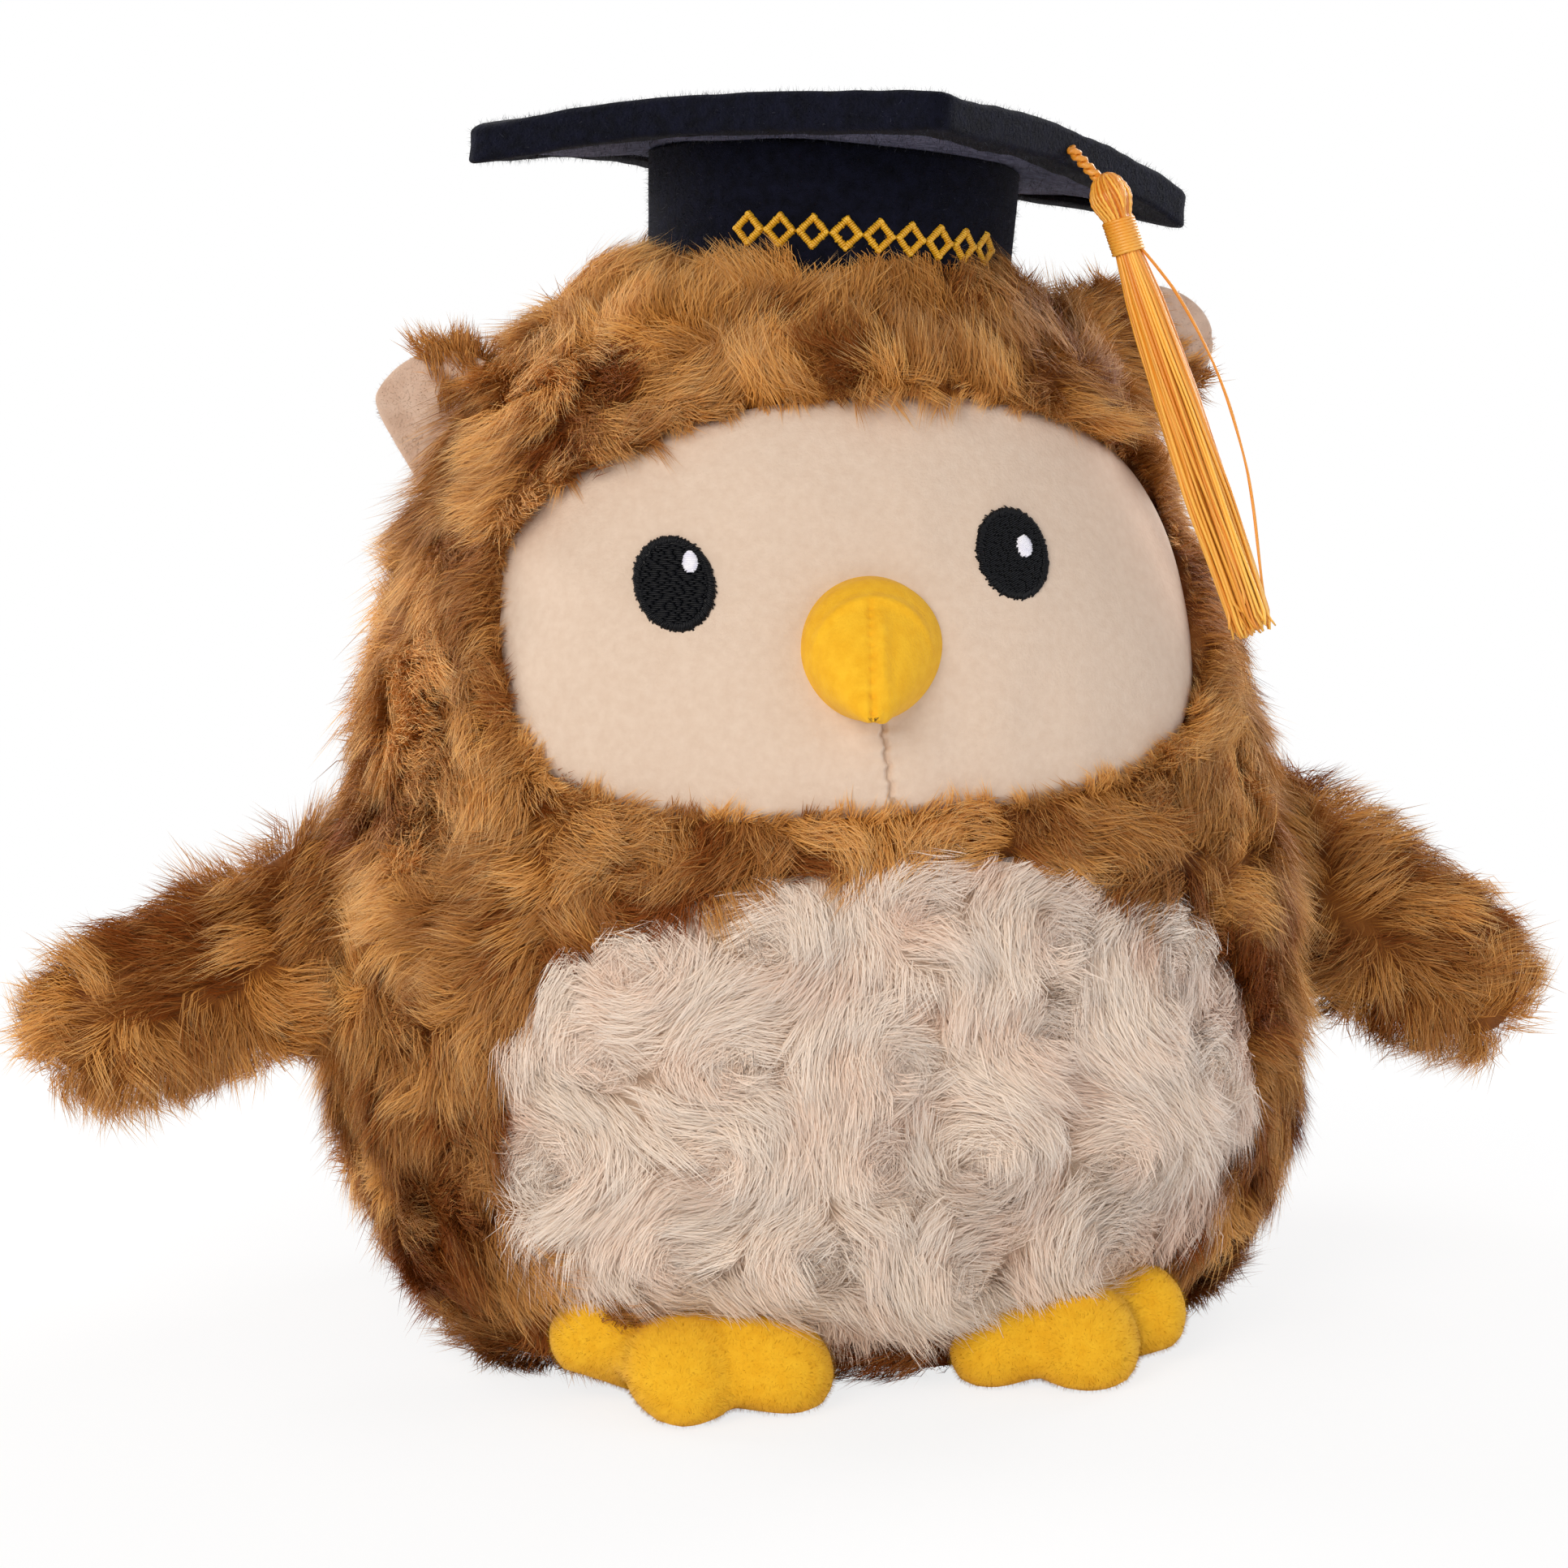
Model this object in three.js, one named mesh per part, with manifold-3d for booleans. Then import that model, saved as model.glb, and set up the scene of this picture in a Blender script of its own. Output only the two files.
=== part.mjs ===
// Plush owl with a graduation cap, as an assembly of its sewn panels, fillings and trims.
// Millimetres, +Z up. The owl sits on z = 0, looks along -Y, and its left side is at +X.
// The origin is on the floor under the middle of the body.

import * as THREE from 'three';
import { mergeVertices } from 'three/addons/utils/BufferGeometryUtils.js';
import Module from 'manifold-3d';

const wasm = await Module();
wasm.setup();

// Body and head: one stuffed form, measured on the backing cloth
const bodyHeight = 193;
const bodyHalfWidth = 82;
const bodyFrontDepth = 73;
const bodyBackDepth = 71;
const sectionPower = 2.3; // squareness of a level section, 2 is an ellipse
// height, half width, front depth and back depth, as shares of the four sizes above
const bodyLevelShares = [
  [0.000, 0.61, 0.63, 0.65],
  [0.021, 0.76, 0.77, 0.79],
  [0.062, 0.87, 0.86, 0.89],
  [0.124, 0.95, 0.95, 0.96],
  [0.233, 1.00, 1.00, 1.00],
  [0.352, 0.99, 1.00, 1.00],
  [0.466, 0.95, 0.97, 0.97],
  [0.570, 0.90, 0.94, 0.93],
  [0.674, 0.83, 0.88, 0.87],
  [0.777, 0.73, 0.77, 0.79],
  [0.870, 0.61, 0.63, 0.68],
  [0.938, 0.45, 0.47, 0.51],
  [0.979, 0.27, 0.28, 0.31],
];

// Cloth and pile
const pileHeight = 6; // long fur, laid over
const napHeight = 1.5; // short nap of the face
const backingThickness = 1.5;
const seamGap = 0.3; // clearance between neighbouring pieces
const fillGap = 0.6; // clearance between a filling and its cloth
const flapGap = 0.8; // clearance between the root of a wing or an ear and the fur
const floorGap = 0.4; // the pile stops this far above the floor
const overrun = 60; // how far cutting tools run past what they cut

// Panel lines of the body: heights are shares of its height, widths of its half width
const sideSeamY = 4;
const hoodSeamShare = 0.539;
const faceLevelShare = 0.6865;
const faceWidthShare = 0.744;
const faceTopShare = 0.1917;
const faceBottomShare = 0.1606;
const faceMiddleX = 2;
const faceTopPower = 2.15;
const faceBottomPower = 4;
const bellyLevelShare = 0.2642;
const bellyWidthShare = 0.7927;
const bellyTopShare = 0.2228;
const bellyBottomShare = 0.2176;
const bellyMiddleX = 1;
const bellyTopPower = 2.05;
const bellyBottomPower = 2.3;

// Base and its weight
const basePanelThickness = 2;
const baseInset = 1; // from the edge of the body's flat foot to the base panel
const pelletBagInset = 7; // from the edge of the base panel to the bag
const pelletBagHeight = 20;

// Eyes, sewn in satin stitch: their places are measured from the middle of the face
const eyeHalfWidth = 6.4;
const eyeHalfHeight = 7.6;
const eyeRaise = 1;
const glintRaise = 0.5;
const eyes = {
  left: {
    across: 23.8, above: 9.6, lean: -16,
    glintX: 2.7, glintZ: 1.9, glintHalfWidth: 1.6, glintHalfHeight: 1.8,
  },
  right: {
    across: -33.2, above: 7.9, lean: 4,
    glintX: 2.3, glintZ: 4.2, glintHalfWidth: 1.5, glintHalfHeight: 2.05,
  },
};

// Beak: a stuffed cone of two panels, drooping to its tip
const beakAside = 2; // how far its base lies to the owl's right of the middle of the face
const beakBelow = 3.7; // how far its base lies below the middle of the face
const beakRadius = 12.2;
const beakReach = 15.5;
const beakTipX = -1;
const beakDrop = 9.2;
const beakClothThickness = 1.2;
const beakRingShares = [-0.35, 0, 0.2, 0.42, 0.62, 0.8]; // of its reach, the first inside the face
const beakFullness = 1.4;
const beakRoundness = 0.8;
const beakDropPower = 2;

// Ears: small cupped flaps, sewn along the side of the head
const earRootLength = 26;
const ears = { // the owl's left ear sits higher and stands out further
  left: { levelShare: 0.8653, height: 24, sink: 16 },
  right: { levelShare: 0.8394, height: 15, sink: 4 },
};
const earLiningThickness = 1.8;
const earFurThickness = 4.2;
const earCup = 3.2;
const earTurn = 24; // degrees that the lining turns outward
const earMiddleShare = 0.5;
const earRoundness = 0.8;

// Wings: flat padded paddles, sewn along the side seam
const wingLength = 49;
const wingWidth = 27;
const wingHalfThickness = 4.6;
const wingPile = 3.2;
const wingLevelShare = 0.3705;
const wingRootLength = 37;
const wingDroop = { left: 42, right: 24 };
const wingTurn = 20; // degrees that the lower edge comes forward
const wingShoulderShare = 0.12; // share of its length where its edges leave the root
const wingMiddleShare = 0.48;
const wingTipPower = 3.4;

// Feet: stuffed, with three toes, flat on the floor
const footHeight = 15.5;
const footLength = 46;
const footInset = 15; // from the front of the body back to the middle of the foot
const footClothThickness = 1.4;
const footRimHeight = 6; // height at which the foot is widest
const footPalmLength = 17; // from the middle of the foot to the front of its palm
const footPalmInset = 10; // from the widest toe in to the side of the palm
const footHeelShare = 0.8;
const footValleyShare = 0.7; // how deep the top sinks, of how far the outline draws in
const footBlend = 7; // degrees over which a valley between two toes is rounded
const footDomePower = 3.6;
const footDomeShares = [0.6, 0.87, 0.97, 1];
const footUnderShares = [[0.95, 0.3], [0.82, 0]]; // of the outline, and of the height where it is widest
const feet = { // each toe is a disc: how far across and ahead of the foot's middle, and its radius
  left: { acrossShare: 0.378, halfWidth: 21.5, toes: [[-13, 7, 8.6], [1.5, 12, 9.6], [15.5, 3, 6.4]] },
  right: { acrossShare: -0.4146, halfWidth: 24, toes: [[-17, -7, 7.4], [-4, 11.5, 9.9], [13, 11, 9.6]] },
};

// Cap: a felt band on the head and a wrapped square board, corner to the front
const capMiddleX = 8;
const capMiddleY = 4;
const capSink = 7; // how far the cap's origin lies below the crown of the head
const capTiltBack = 8.2;
const capTiltSide = 7.5;
const capTurn = 3.5;
const crownRadius = 33;
const crownWall = 1.8;
const crownTop = 20;
const crownBottom = -16;
const boardHalfDiagonal = 67;
const boardThickness = 6.8;
const boardFelt = 1.5;
const boardDroop = 6.8; // how far the side corners hang
const boardFlatHalf = 20; // the board is flat this far from its middle
const boardDroopPower = 1.8;

// Gold ornament on the front of the band: a chain of diamonds
const ornamentDiamonds = 9;
const ornamentPitch = 5.9;
const ornamentHeight = 6.2;
const ornamentNeck = 0.9;
const ornamentRaise = 0.8;
const ornamentCentre = 4.6; // height of its middle on the band

// Tassel: cord stub, head, wrapped neck and skirt
const tasselEdgeShare = 0.49; // place along the front left edge of the board
const tasselRiseShare = 0.3; // height of the cord on the edge of the board
const tasselCordRadius = 1;
const tasselCordLength = 5;
const tasselCordLean = 40;
const tasselHeadTop = 2.6; // radius of the round top of the tassel's head
const tasselHeadRadius = 3.6;
const tasselHeadLength = 7.8;
const tasselBulgeShare = 0.35;
const tasselNeckRadius = 2.5;
const tasselNeckLength = 6;
const tasselWrapRib = 0.3;
const tasselSkirtLength = 71;
const tasselSkirtRadius = 5.2;
const tasselSkirtShares = [[0.5, 0], [0.72, 0.14], [0.92, 0.4], [1, 0.66], [0.95, 1]];
const tasselRestGap = 4; // between the widest part of the skirt and the fur beside it
const tasselLeanFront = 12;

// How finely round things are cut
const bodySides = 24;
const padSides = 16;
const padRings = 6;
const footStep = 15; // degrees
const eyeSides = 24;
const crownSides = 36;
const boardCells = 8;
const latheSides = 16;
const cordSides = 8;
const wrapRibs = 5;
const outlineSteps = 36;
const wingEdgeSteps = 7;
const earEdgeSteps = 10;
const roundEndSteps = 3;
const padPower = 2.4; // how square a pad's thickness is
const padSpacing = 0.85;
const tinyStep = 1e-4; // vertices closer than this are one
const flatness = 0.07; // a cut surface may be simplified this much

// Materials
const cloth = (color, roughness = 0.95) => new THREE.MeshStandardMaterial({
  color,
  roughness,
  metalness: 0,
  flatShading: true,
});
const brownFur = cloth('#9a6634');
const creamFur = cloth('#e3d2c2');
const minky = cloth('#ecd6c4');
const baseCloth = cloth('#6b4a33');
const yellowPlush = cloth('#f6c12b');
const blackFelt = cloth('#15171e');
const blackThread = cloth('#181a20', 0.6);
const whiteThread = cloth('#f0f0f6', 0.6);
const goldThread = cloth('#e2aa1c', 0.5);
const tasselThread = cloth('#f7ae26', 0.5);
const fibreFill = cloth('#f4f2ee');
const liningCloth = cloth('#e6d8cd');
const pelletCloth = cloth('#d8d8d8');
const board = cloth('#b9a384', 0.9);

// Places that follow from the sizes
const faceCentre = { x: faceMiddleX, z: bodyHeight * faceLevelShare };
const bellyCentre = { x: bellyMiddleX, z: bodyHeight * bellyLevelShare };
const hoodSeamZ = bodyHeight * hoodSeamShare;
const [, flatWidthShare, flatFrontShare, flatBackShare] = bodyLevelShares[0];
const flatHalfDepth = Math.min(bodyFrontDepth * flatFrontShare, bodyBackDepth * flatBackShare);
const basePanelHalfWidth = bodyHalfWidth * flatWidthShare - baseInset;
const basePanelHalfDepth = flatHalfDepth - baseInset;
const pelletBagHalfWidth = basePanelHalfWidth - pelletBagInset;
const pelletBagHalfDepth = basePanelHalfDepth - pelletBagInset;
const beakBaseX = faceCentre.x - beakAside;
const beakBaseZ = faceCentre.z - beakBelow;
const wingRootZ = bodyHeight * wingLevelShare;
const footCentreY = footInset - bodyFrontDepth;

const owl = new THREE.Group();
const radians = THREE.MathUtils.degToRad;
const vector = (x, y, z) => new THREE.Vector3(x, y, z);
const signedPower = (value, power) => Math.sign(value) * Math.abs(value) ** power;

// A closed skin through rings of points, with a fan to a pole at each end
function loft(rings, firstPole, lastPole) {
  const sides = rings[0].length;
  const points = [firstPole, ...rings.flat(), lastPole];
  const last = points.length - 1;
  const faces = [];
  for (let i = 0; i < sides; i += 1) {
    const next = (i + 1) % sides;
    faces.push([0, 1 + next, 1 + i]);
    for (let ring = 0; ring < rings.length - 1; ring += 1) {
      const a = 1 + ring * sides;
      const b = a + sides;
      faces.push([a + i, a + next, b + i]);
      faces.push([a + next, b + next, b + i]);
    }
    const end = last - sides;
    faces.push([last, end + i, end + next]);
  }
  return outward(points, faces);
}

// An indexed geometry whose faces point out, whichever way they were listed
function outward(points, faces) {
  let volume = 0;
  for (const [a, b, c] of faces) {
    volume += points[a].dot(points[b].clone().cross(points[c]));
  }
  const index = volume < 0 ? faces.map(([a, b, c]) => [a, c, b]) : faces;
  const geometry = new THREE.BufferGeometry();
  geometry.setFromPoints(points);
  geometry.setIndex(index.flat());
  return geometry;
}

// The same geometry with its skin moved out by an amount, along the vertex normals
function grown(geometry, amount) {
  const copy = geometry.clone();
  copy.computeVertexNormals();
  const places = copy.attributes.position;
  const normals = copy.attributes.normal;
  for (let i = 0; i < places.count; i += 1) {
    const moved = vector(0, 0, 0).fromBufferAttribute(places, i);
    moved.addScaledVector(vector(0, 0, 0).fromBufferAttribute(normals, i), amount);
    places.setXYZ(i, moved.x, moved.y, moved.z);
  }
  return copy;
}

// A geometry as a solid that can be joined and cut
function solid(geometry) {
  const bare = geometry.clone();
  bare.deleteAttribute('normal');
  bare.deleteAttribute('uv');
  const merged = mergeVertices(bare, tinyStep);
  return new wasm.Manifold(new wasm.Mesh({
    numProp: 3,
    vertProperties: new Float32Array(merged.attributes.position.array),
    triVerts: new Uint32Array(merged.index.array),
  }));
}

// A solid back as a geometry, without the dust that cutting leaves along a seam
function geometryOf(body) {
  const pieces = body.simplify(flatness).decompose();
  pieces.sort((one, other) => other.volume() - one.volume());
  const mesh = pieces[0].getMesh();
  const geometry = new THREE.BufferGeometry();
  geometry.setAttribute('position', new THREE.BufferAttribute(mesh.vertProperties, mesh.numProp));
  geometry.setIndex(new THREE.BufferAttribute(mesh.triVerts, 1));
  return geometry;
}

// Adds a named piece to a parent
function add(name, geometry, material, parent = owl) {
  const mesh = new THREE.Mesh(geometry, material);
  mesh.name = name;
  parent.add(mesh);
  return mesh;
}

// A box between two corners, as a solid
function boxSolid(low, high) {
  const size = high.clone().sub(low);
  const box = new THREE.BoxGeometry(size.x, size.y, size.z);
  box.translate((low.x + high.x) / 2, (low.y + high.y) / 2, (low.z + high.z) / 2);
  return solid(box);
}

// Everything within reach of the object on one side of a plane across an axis
const reach = bodyHeight + overrun;
function halfSpace(axis, from, side) {
  const low = vector(-reach, -reach, -reach);
  const high = vector(reach, reach, reach);
  if (side > 0) low[axis] = from;
  else high[axis] = from;
  return boxSolid(low, high);
}

// A closed outline in x and z: half width, and a top and a bottom with their own squareness
function panelOutline(centre, halfWidth, top, bottom, topPower, bottomPower, grow) {
  const points = [];
  for (let i = 0; i < outlineSteps; i += 1) {
    const turn = (2 * Math.PI * i) / outlineSteps;
    const upper = Math.sin(turn) > 0;
    const power = 2 / (upper ? topPower : bottomPower);
    const height = (upper ? top : bottom) + grow;
    points.push(new THREE.Vector2(
      centre.x + (halfWidth + grow) * signedPower(Math.cos(turn), power),
      centre.z + height * signedPower(Math.sin(turn), power),
    ));
  }
  return points;
}

// A prism of an outline in x and z, running forward from the side seam
function frontPrism(outline) {
  const prism = new THREE.ExtrudeGeometry(new THREE.Shape(outline), {
    depth: reach,
    bevelEnabled: false,
    curveSegments: 1,
  });
  prism.rotateX(Math.PI / 2);
  prism.translate(0, sideSeamY, 0);
  return solid(prism);
}

// Body form: rings of a rounded section at each level, flat below and closed at the crown
function bodyRing([heightShare, widthShare, frontShare, backShare]) {
  const ring = [];
  for (let i = 0; i < bodySides; i += 1) {
    const turn = (2 * Math.PI * i) / bodySides;
    const front = Math.sin(turn) < 0;
    const depth = front ? bodyFrontDepth * frontShare : bodyBackDepth * backShare;
    ring.push(vector(
      bodyHalfWidth * widthShare * signedPower(Math.cos(turn), 2 / sectionPower),
      depth * signedPower(Math.sin(turn), 2 / sectionPower),
      bodyHeight * heightShare,
    ));
  }
  return ring;
}
const bodyForm = loft(bodyLevelShares.map(bodyRing), vector(0, 0, 0), vector(0, 0, bodyHeight));
const bodyGrown = (amount) => solid(grown(bodyForm, amount));
const clothSurface = grown(bodyForm, 0);
const furSurface = grown(bodyForm, pileHeight);

// Where a line from outside first meets a surface
function surfaceHit(surface, from, direction) {
  const skin = new THREE.Mesh(surface, new THREE.MeshBasicMaterial());
  return new THREE.Raycaster(from, direction).intersectObject(skin)[0].point;
}

// A seat on the fur beside the side seam for a straight root: where the root's line touches,
// how far that line leans over the body, and the way out from it
function sideSeat(sign, z, halfLength) {
  const at = (height) => surfaceHit(
    furSurface,
    vector(sign * reach, sideSeamY, height),
    vector(-sign, 0, 0),
  );
  const upper = at(z + halfLength);
  const lower = at(z - halfLength);
  const slope = Math.atan2(Math.abs(lower.x) - Math.abs(upper.x), upper.z - lower.z);
  const away = vector(sign * Math.cos(slope), 0, Math.sin(slope));
  const point = at(z);
  const standOff = Math.max(0, ...[upper, lower].map((end) => end.sub(point).dot(away)));
  return { point: point.addScaledVector(away, standOff), slope, away };
}

// Body panels: a thick skin cut along the seams
const bodyCloth = bodyGrown(0);
const bodyInside = bodyGrown(-backingThickness);
const aboveBase = halfSpace('z', basePanelThickness + seamGap, 1);
const aboveFloor = halfSpace('z', floorGap, 1);
const insideAboveBase = bodyInside.intersect(aboveBase);

function basePrism(grow, top) {
  const outline = [];
  for (let i = 0; i < bodySides; i += 1) {
    const turn = (2 * Math.PI * i) / bodySides;
    outline.push(new THREE.Vector2(
      (basePanelHalfWidth + grow) * signedPower(Math.cos(turn), 2 / sectionPower),
      (basePanelHalfDepth + grow) * signedPower(Math.sin(turn), 2 / sectionPower),
    ));
  }
  const prism = new THREE.ExtrudeGeometry(new THREE.Shape(outline), {
    depth: top,
    bevelEnabled: false,
    curveSegments: 1,
  });
  return solid(prism);
}

add('base_panel', geometryOf(basePrism(0, basePanelThickness)), baseCloth);

// Cap frame: tilted back and to the side, turned a little
const cap = new THREE.Group();
cap.position.set(capMiddleX, capMiddleY, bodyHeight - capSink);
cap.rotation.set(-radians(capTiltBack), radians(capTiltSide), radians(capTurn), 'YXZ');
owl.add(cap);
cap.updateMatrixWorld(true);
const worldToCap = cap.matrixWorld.clone().invert();

function crownCylinder(radius, bottom, top) {
  const cylinder = new THREE.CylinderGeometry(radius, radius, top - bottom, crownSides);
  cylinder.rotateX(Math.PI / 2);
  cylinder.translate(0, 0, (top + bottom) / 2);
  return cylinder;
}

// Feet: a three toed outline, domed above and flat below
const footX = (side) => bodyHalfWidth * feet[side].acrossShare;

// Distance of the outline from the foot's middle on a bearing: the palm or the toe that reaches furthest
function footEdge(side, turn) {
  const [x, y] = [Math.cos(turn), Math.sin(turn)];
  const palmWidth = feet[side].halfWidth - footPalmInset;
  const palmLength = y > 0 ? (footLength / 2) * footHeelShare : footPalmLength;
  const reaches = feet[side].toes.map(([across, ahead, radius]) => {
    const along = across * x - ahead * y;
    const aside = across * y + ahead * x;
    return Math.abs(aside) < radius ? along + Math.sqrt(radius ** 2 - aside ** 2) : 0;
  });
  return Math.max(1 / Math.hypot(x / palmWidth, y / palmLength), ...reaches);
}
function footReach(side, turn) {
  const shifts = [-1, -1 / 2, 0, 1 / 2, 1].map((share) => share * radians(footBlend));
  return shifts.reduce((sum, shift) => sum + footEdge(side, turn + shift) / shifts.length, 0);
}

// Bearings round a foot: one in each valley, and even steps between them
function footTurns(side) {
  const lows = [];
  const reachAt = (degree) => footReach(side, radians(degree));
  for (let degree = 0; degree < 360; degree += 1) {
    if (reachAt(degree) < reachAt(degree - 1) && reachAt(degree) <= reachAt(degree + 1)) {
      lows.push(degree);
    }
  }
  return lows.flatMap((low, i) => {
    const next = i + 1 < lows.length ? lows[i + 1] : lows[0] + 360;
    const steps = Math.max(2, Math.round((next - low) / footStep));
    return Array.from({ length: steps }, (_, k) => radians(low + ((next - low) * k) / steps));
  });
}

function footPoint(side, turn, share, height, inset) {
  const edge = footReach(side, turn);
  const round = 1 / Math.hypot(
    Math.cos(turn) / feet[side].halfWidth,
    Math.sin(turn) / (footLength / 2),
  );
  const valley = Math.sin(turn) > 0 ? 0 : Math.max(0, round - edge) * footValleyShare;
  const dip = inset + valley * share ** 2;
  return vector(
    footX(side) + (edge - inset) * share * Math.cos(turn),
    footCentreY + (edge - inset) * share * Math.sin(turn),
    height > footRimHeight ? Math.max(footRimHeight, height - dip) : Math.max(inset, height),
  );
}
function footForm(side, inset) {
  const turns = footTurns(side);
  const ring = (share, height) => (
    turns.map((turn) => footPoint(side, turn, share, height, inset))
  );
  const domeHeight = (share) => {
    const dome = Math.sqrt(1 - share ** footDomePower);
    return footRimHeight + (footHeight - footRimHeight) * dome;
  };
  const rings = footDomeShares.map((share) => ring(share, domeHeight(share)));
  rings.push(...footUnderShares.map(([share, heightShare]) => (
    ring(share, footRimHeight * heightShare)
  )));
  const x = footX(side);
  return loft(
    rings,
    vector(x, footCentreY, footHeight - inset),
    vector(x, footCentreY, inset),
  );
}

// Long fur lies outside the cloth and makes room for the feet and the cap
let furSkin = bodyGrown(pileHeight)
  .intersect(aboveFloor)
  .subtract(insideAboveBase)
  .subtract(basePrism(seamGap, basePanelThickness + 2 * seamGap));
for (const side of ['left', 'right']) {
  furSkin = furSkin.subtract(solid(grown(footForm(side, 0), seamGap)));
}
const capCut = crownCylinder(
  crownRadius + ornamentRaise + 2 * seamGap,
  crownBottom - overrun,
  crownTop + overrun,
);
capCut.applyMatrix4(cap.matrixWorld);
furSkin = furSkin.subtract(solid(capCut).subtract(bodyCloth));

const faceLine = (grow) => frontPrism(panelOutline(
  faceCentre,
  bodyHalfWidth * faceWidthShare,
  bodyHeight * faceTopShare,
  bodyHeight * faceBottomShare,
  faceTopPower,
  faceBottomPower,
  grow,
));
const bellyLine = (grow) => frontPrism(panelOutline(
  bellyCentre,
  bodyHalfWidth * bellyWidthShare,
  bodyHeight * bellyTopShare,
  bodyHeight * bellyBottomShare,
  bellyTopPower,
  bellyBottomPower,
  grow,
));
const halfGap = seamGap / 2;
const front = halfSpace('y', sideSeamY - halfGap, -1);
const back = halfSpace('y', sideSeamY + halfGap, 1);
const leftSide = halfSpace('x', halfGap, 1);
const rightSide = halfSpace('x', -halfGap, -1);
const aroundWindows = furSkin.intersect(front)
  .subtract(faceLine(halfGap))
  .subtract(bellyLine(halfGap));
const flanks = aroundWindows.intersect(halfSpace('z', hoodSeamZ - halfGap, -1));

const faceSkin = bodyGrown(napHeight).subtract(bodyInside).intersect(front);
add('face_panel', geometryOf(faceSkin.intersect(faceLine(-halfGap))), minky);
add('belly_panel', geometryOf(furSkin.intersect(front).intersect(bellyLine(-halfGap))), creamFur);
add('hood_panel', geometryOf(aroundWindows.intersect(halfSpace('z', hoodSeamZ + halfGap, 1))), brownFur);
add('flank_panel_left', geometryOf(flanks.intersect(leftSide)), brownFur);
add('flank_panel_right', geometryOf(flanks.intersect(rightSide)), brownFur);
add('back_panel_left', geometryOf(furSkin.intersect(back).intersect(leftSide)), brownFur);
add('back_panel_right', geometryOf(furSkin.intersect(back).intersect(rightSide)), brownFur);

// Filling of the body, with the pellet bag in its foot
function pelletForm(grow) {
  const bag = new THREE.SphereGeometry(1, padSides, padRings);
  bag.rotateX(Math.PI / 2);
  bag.scale(pelletBagHalfWidth + grow, pelletBagHalfDepth + grow, pelletBagHeight / 2 + grow);
  bag.translate(0, 0, basePanelThickness + seamGap + pelletBagHeight / 2);
  return bag;
}
const fillFloor = halfSpace('z', basePanelThickness + fillGap, 1);
const bagWell = new THREE.CylinderGeometry(1, 1, pelletBagHeight, padSides);
bagWell.rotateX(Math.PI / 2);
bagWell.scale(pelletBagHalfWidth + seamGap, pelletBagHalfDepth + seamGap, 1);
bagWell.translate(0, 0, basePanelThickness + seamGap);
add('body_stuffing', geometryOf(
  bodyGrown(-backingThickness - fillGap)
    .intersect(fillFloor)
    .subtract(solid(pelletForm(seamGap)))
    .subtract(solid(bagWell)),
), fibreFill);
add('pellet_bag', pelletForm(0), pelletCloth);

// Eyes: raised ovals that follow the face, each with a white glint
function ovalPrism(x, z, halfWidth, halfHeight, lean) {
  const outline = [];
  for (let i = 0; i < eyeSides; i += 1) {
    const turn = (2 * Math.PI * i) / eyeSides;
    const across = halfWidth * Math.cos(turn);
    const up = halfHeight * Math.sin(turn);
    outline.push(new THREE.Vector2(
      x + across * Math.cos(lean) + up * Math.sin(lean),
      z - across * Math.sin(lean) + up * Math.cos(lean),
    ));
  }
  return frontPrism(outline);
}
function layer(from, thickness) {
  return bodyGrown(from + thickness).subtract(bodyGrown(from)).intersect(front);
}
const eyeLayer = layer(napHeight + seamGap, eyeRaise);
const glintLayer = layer(napHeight + 2 * seamGap + eyeRaise, glintRaise);
for (const [side, eye] of Object.entries(eyes)) {
  const lean = radians(eye.lean);
  const eyeX = faceCentre.x + eye.across;
  const eyeZ = faceCentre.z + eye.above;
  const oval = ovalPrism(eyeX, eyeZ, eyeHalfWidth, eyeHalfHeight, lean);
  add(`eye_${side}`, geometryOf(eyeLayer.intersect(oval)), blackThread);
  const glint = ovalPrism(
    eyeX + eye.glintX,
    eyeZ + eye.glintZ,
    eye.glintHalfWidth,
    eye.glintHalfHeight,
    lean,
  );
  add(`eye_glint_${side}`, geometryOf(glintLayer.intersect(glint)), whiteThread);
}

// Beak: rings that shrink and sink from the face to the tip
const beakSeat = surfaceHit(clothSurface, vector(beakBaseX, -reach, beakBaseZ), vector(0, 1, 0));
function beakForm(inset) {
  const rings = [];
  const depth = beakReach - inset;
  for (const share of beakRingShares) {
    const ahead = Math.max(0, share);
    const radius = beakRadius * (1 - ahead ** beakFullness) ** beakRoundness - inset;
    const ring = [];
    for (let i = 0; i < padSides; i += 1) {
      const turn = (2 * Math.PI * i) / padSides;
      ring.push(vector(
        beakBaseX + beakTipX * ahead + radius * Math.cos(turn),
        beakSeat.y - depth * share,
        beakBaseZ - beakDrop * ahead ** beakDropPower + radius * Math.sin(turn),
      ));
    }
    rings.push(ring);
  }
  const start = vector(beakBaseX, rings[0][0].y, beakBaseZ);
  const tip = vector(beakBaseX + beakTipX, beakSeat.y - depth, beakBaseZ - beakDrop);
  return solid(loft(rings, start, tip));
}
const outsideFace = (body) => geometryOf(body.subtract(bodyGrown(napHeight + seamGap)));
const beakSkin = beakForm(0).subtract(beakForm(beakClothThickness));
const beakLeftHalf = halfSpace('x', beakBaseX + halfGap, 1);
const beakRightHalf = halfSpace('x', beakBaseX - halfGap, -1);
add('beak_panel_left', outsideFace(beakSkin.intersect(beakLeftHalf)), yellowPlush);
add('beak_panel_right', outsideFace(beakSkin.intersect(beakRightHalf)), yellowPlush);
add('beak_stuffing', outsideFace(beakForm(beakClothThickness + fillGap)), fibreFill);

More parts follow.
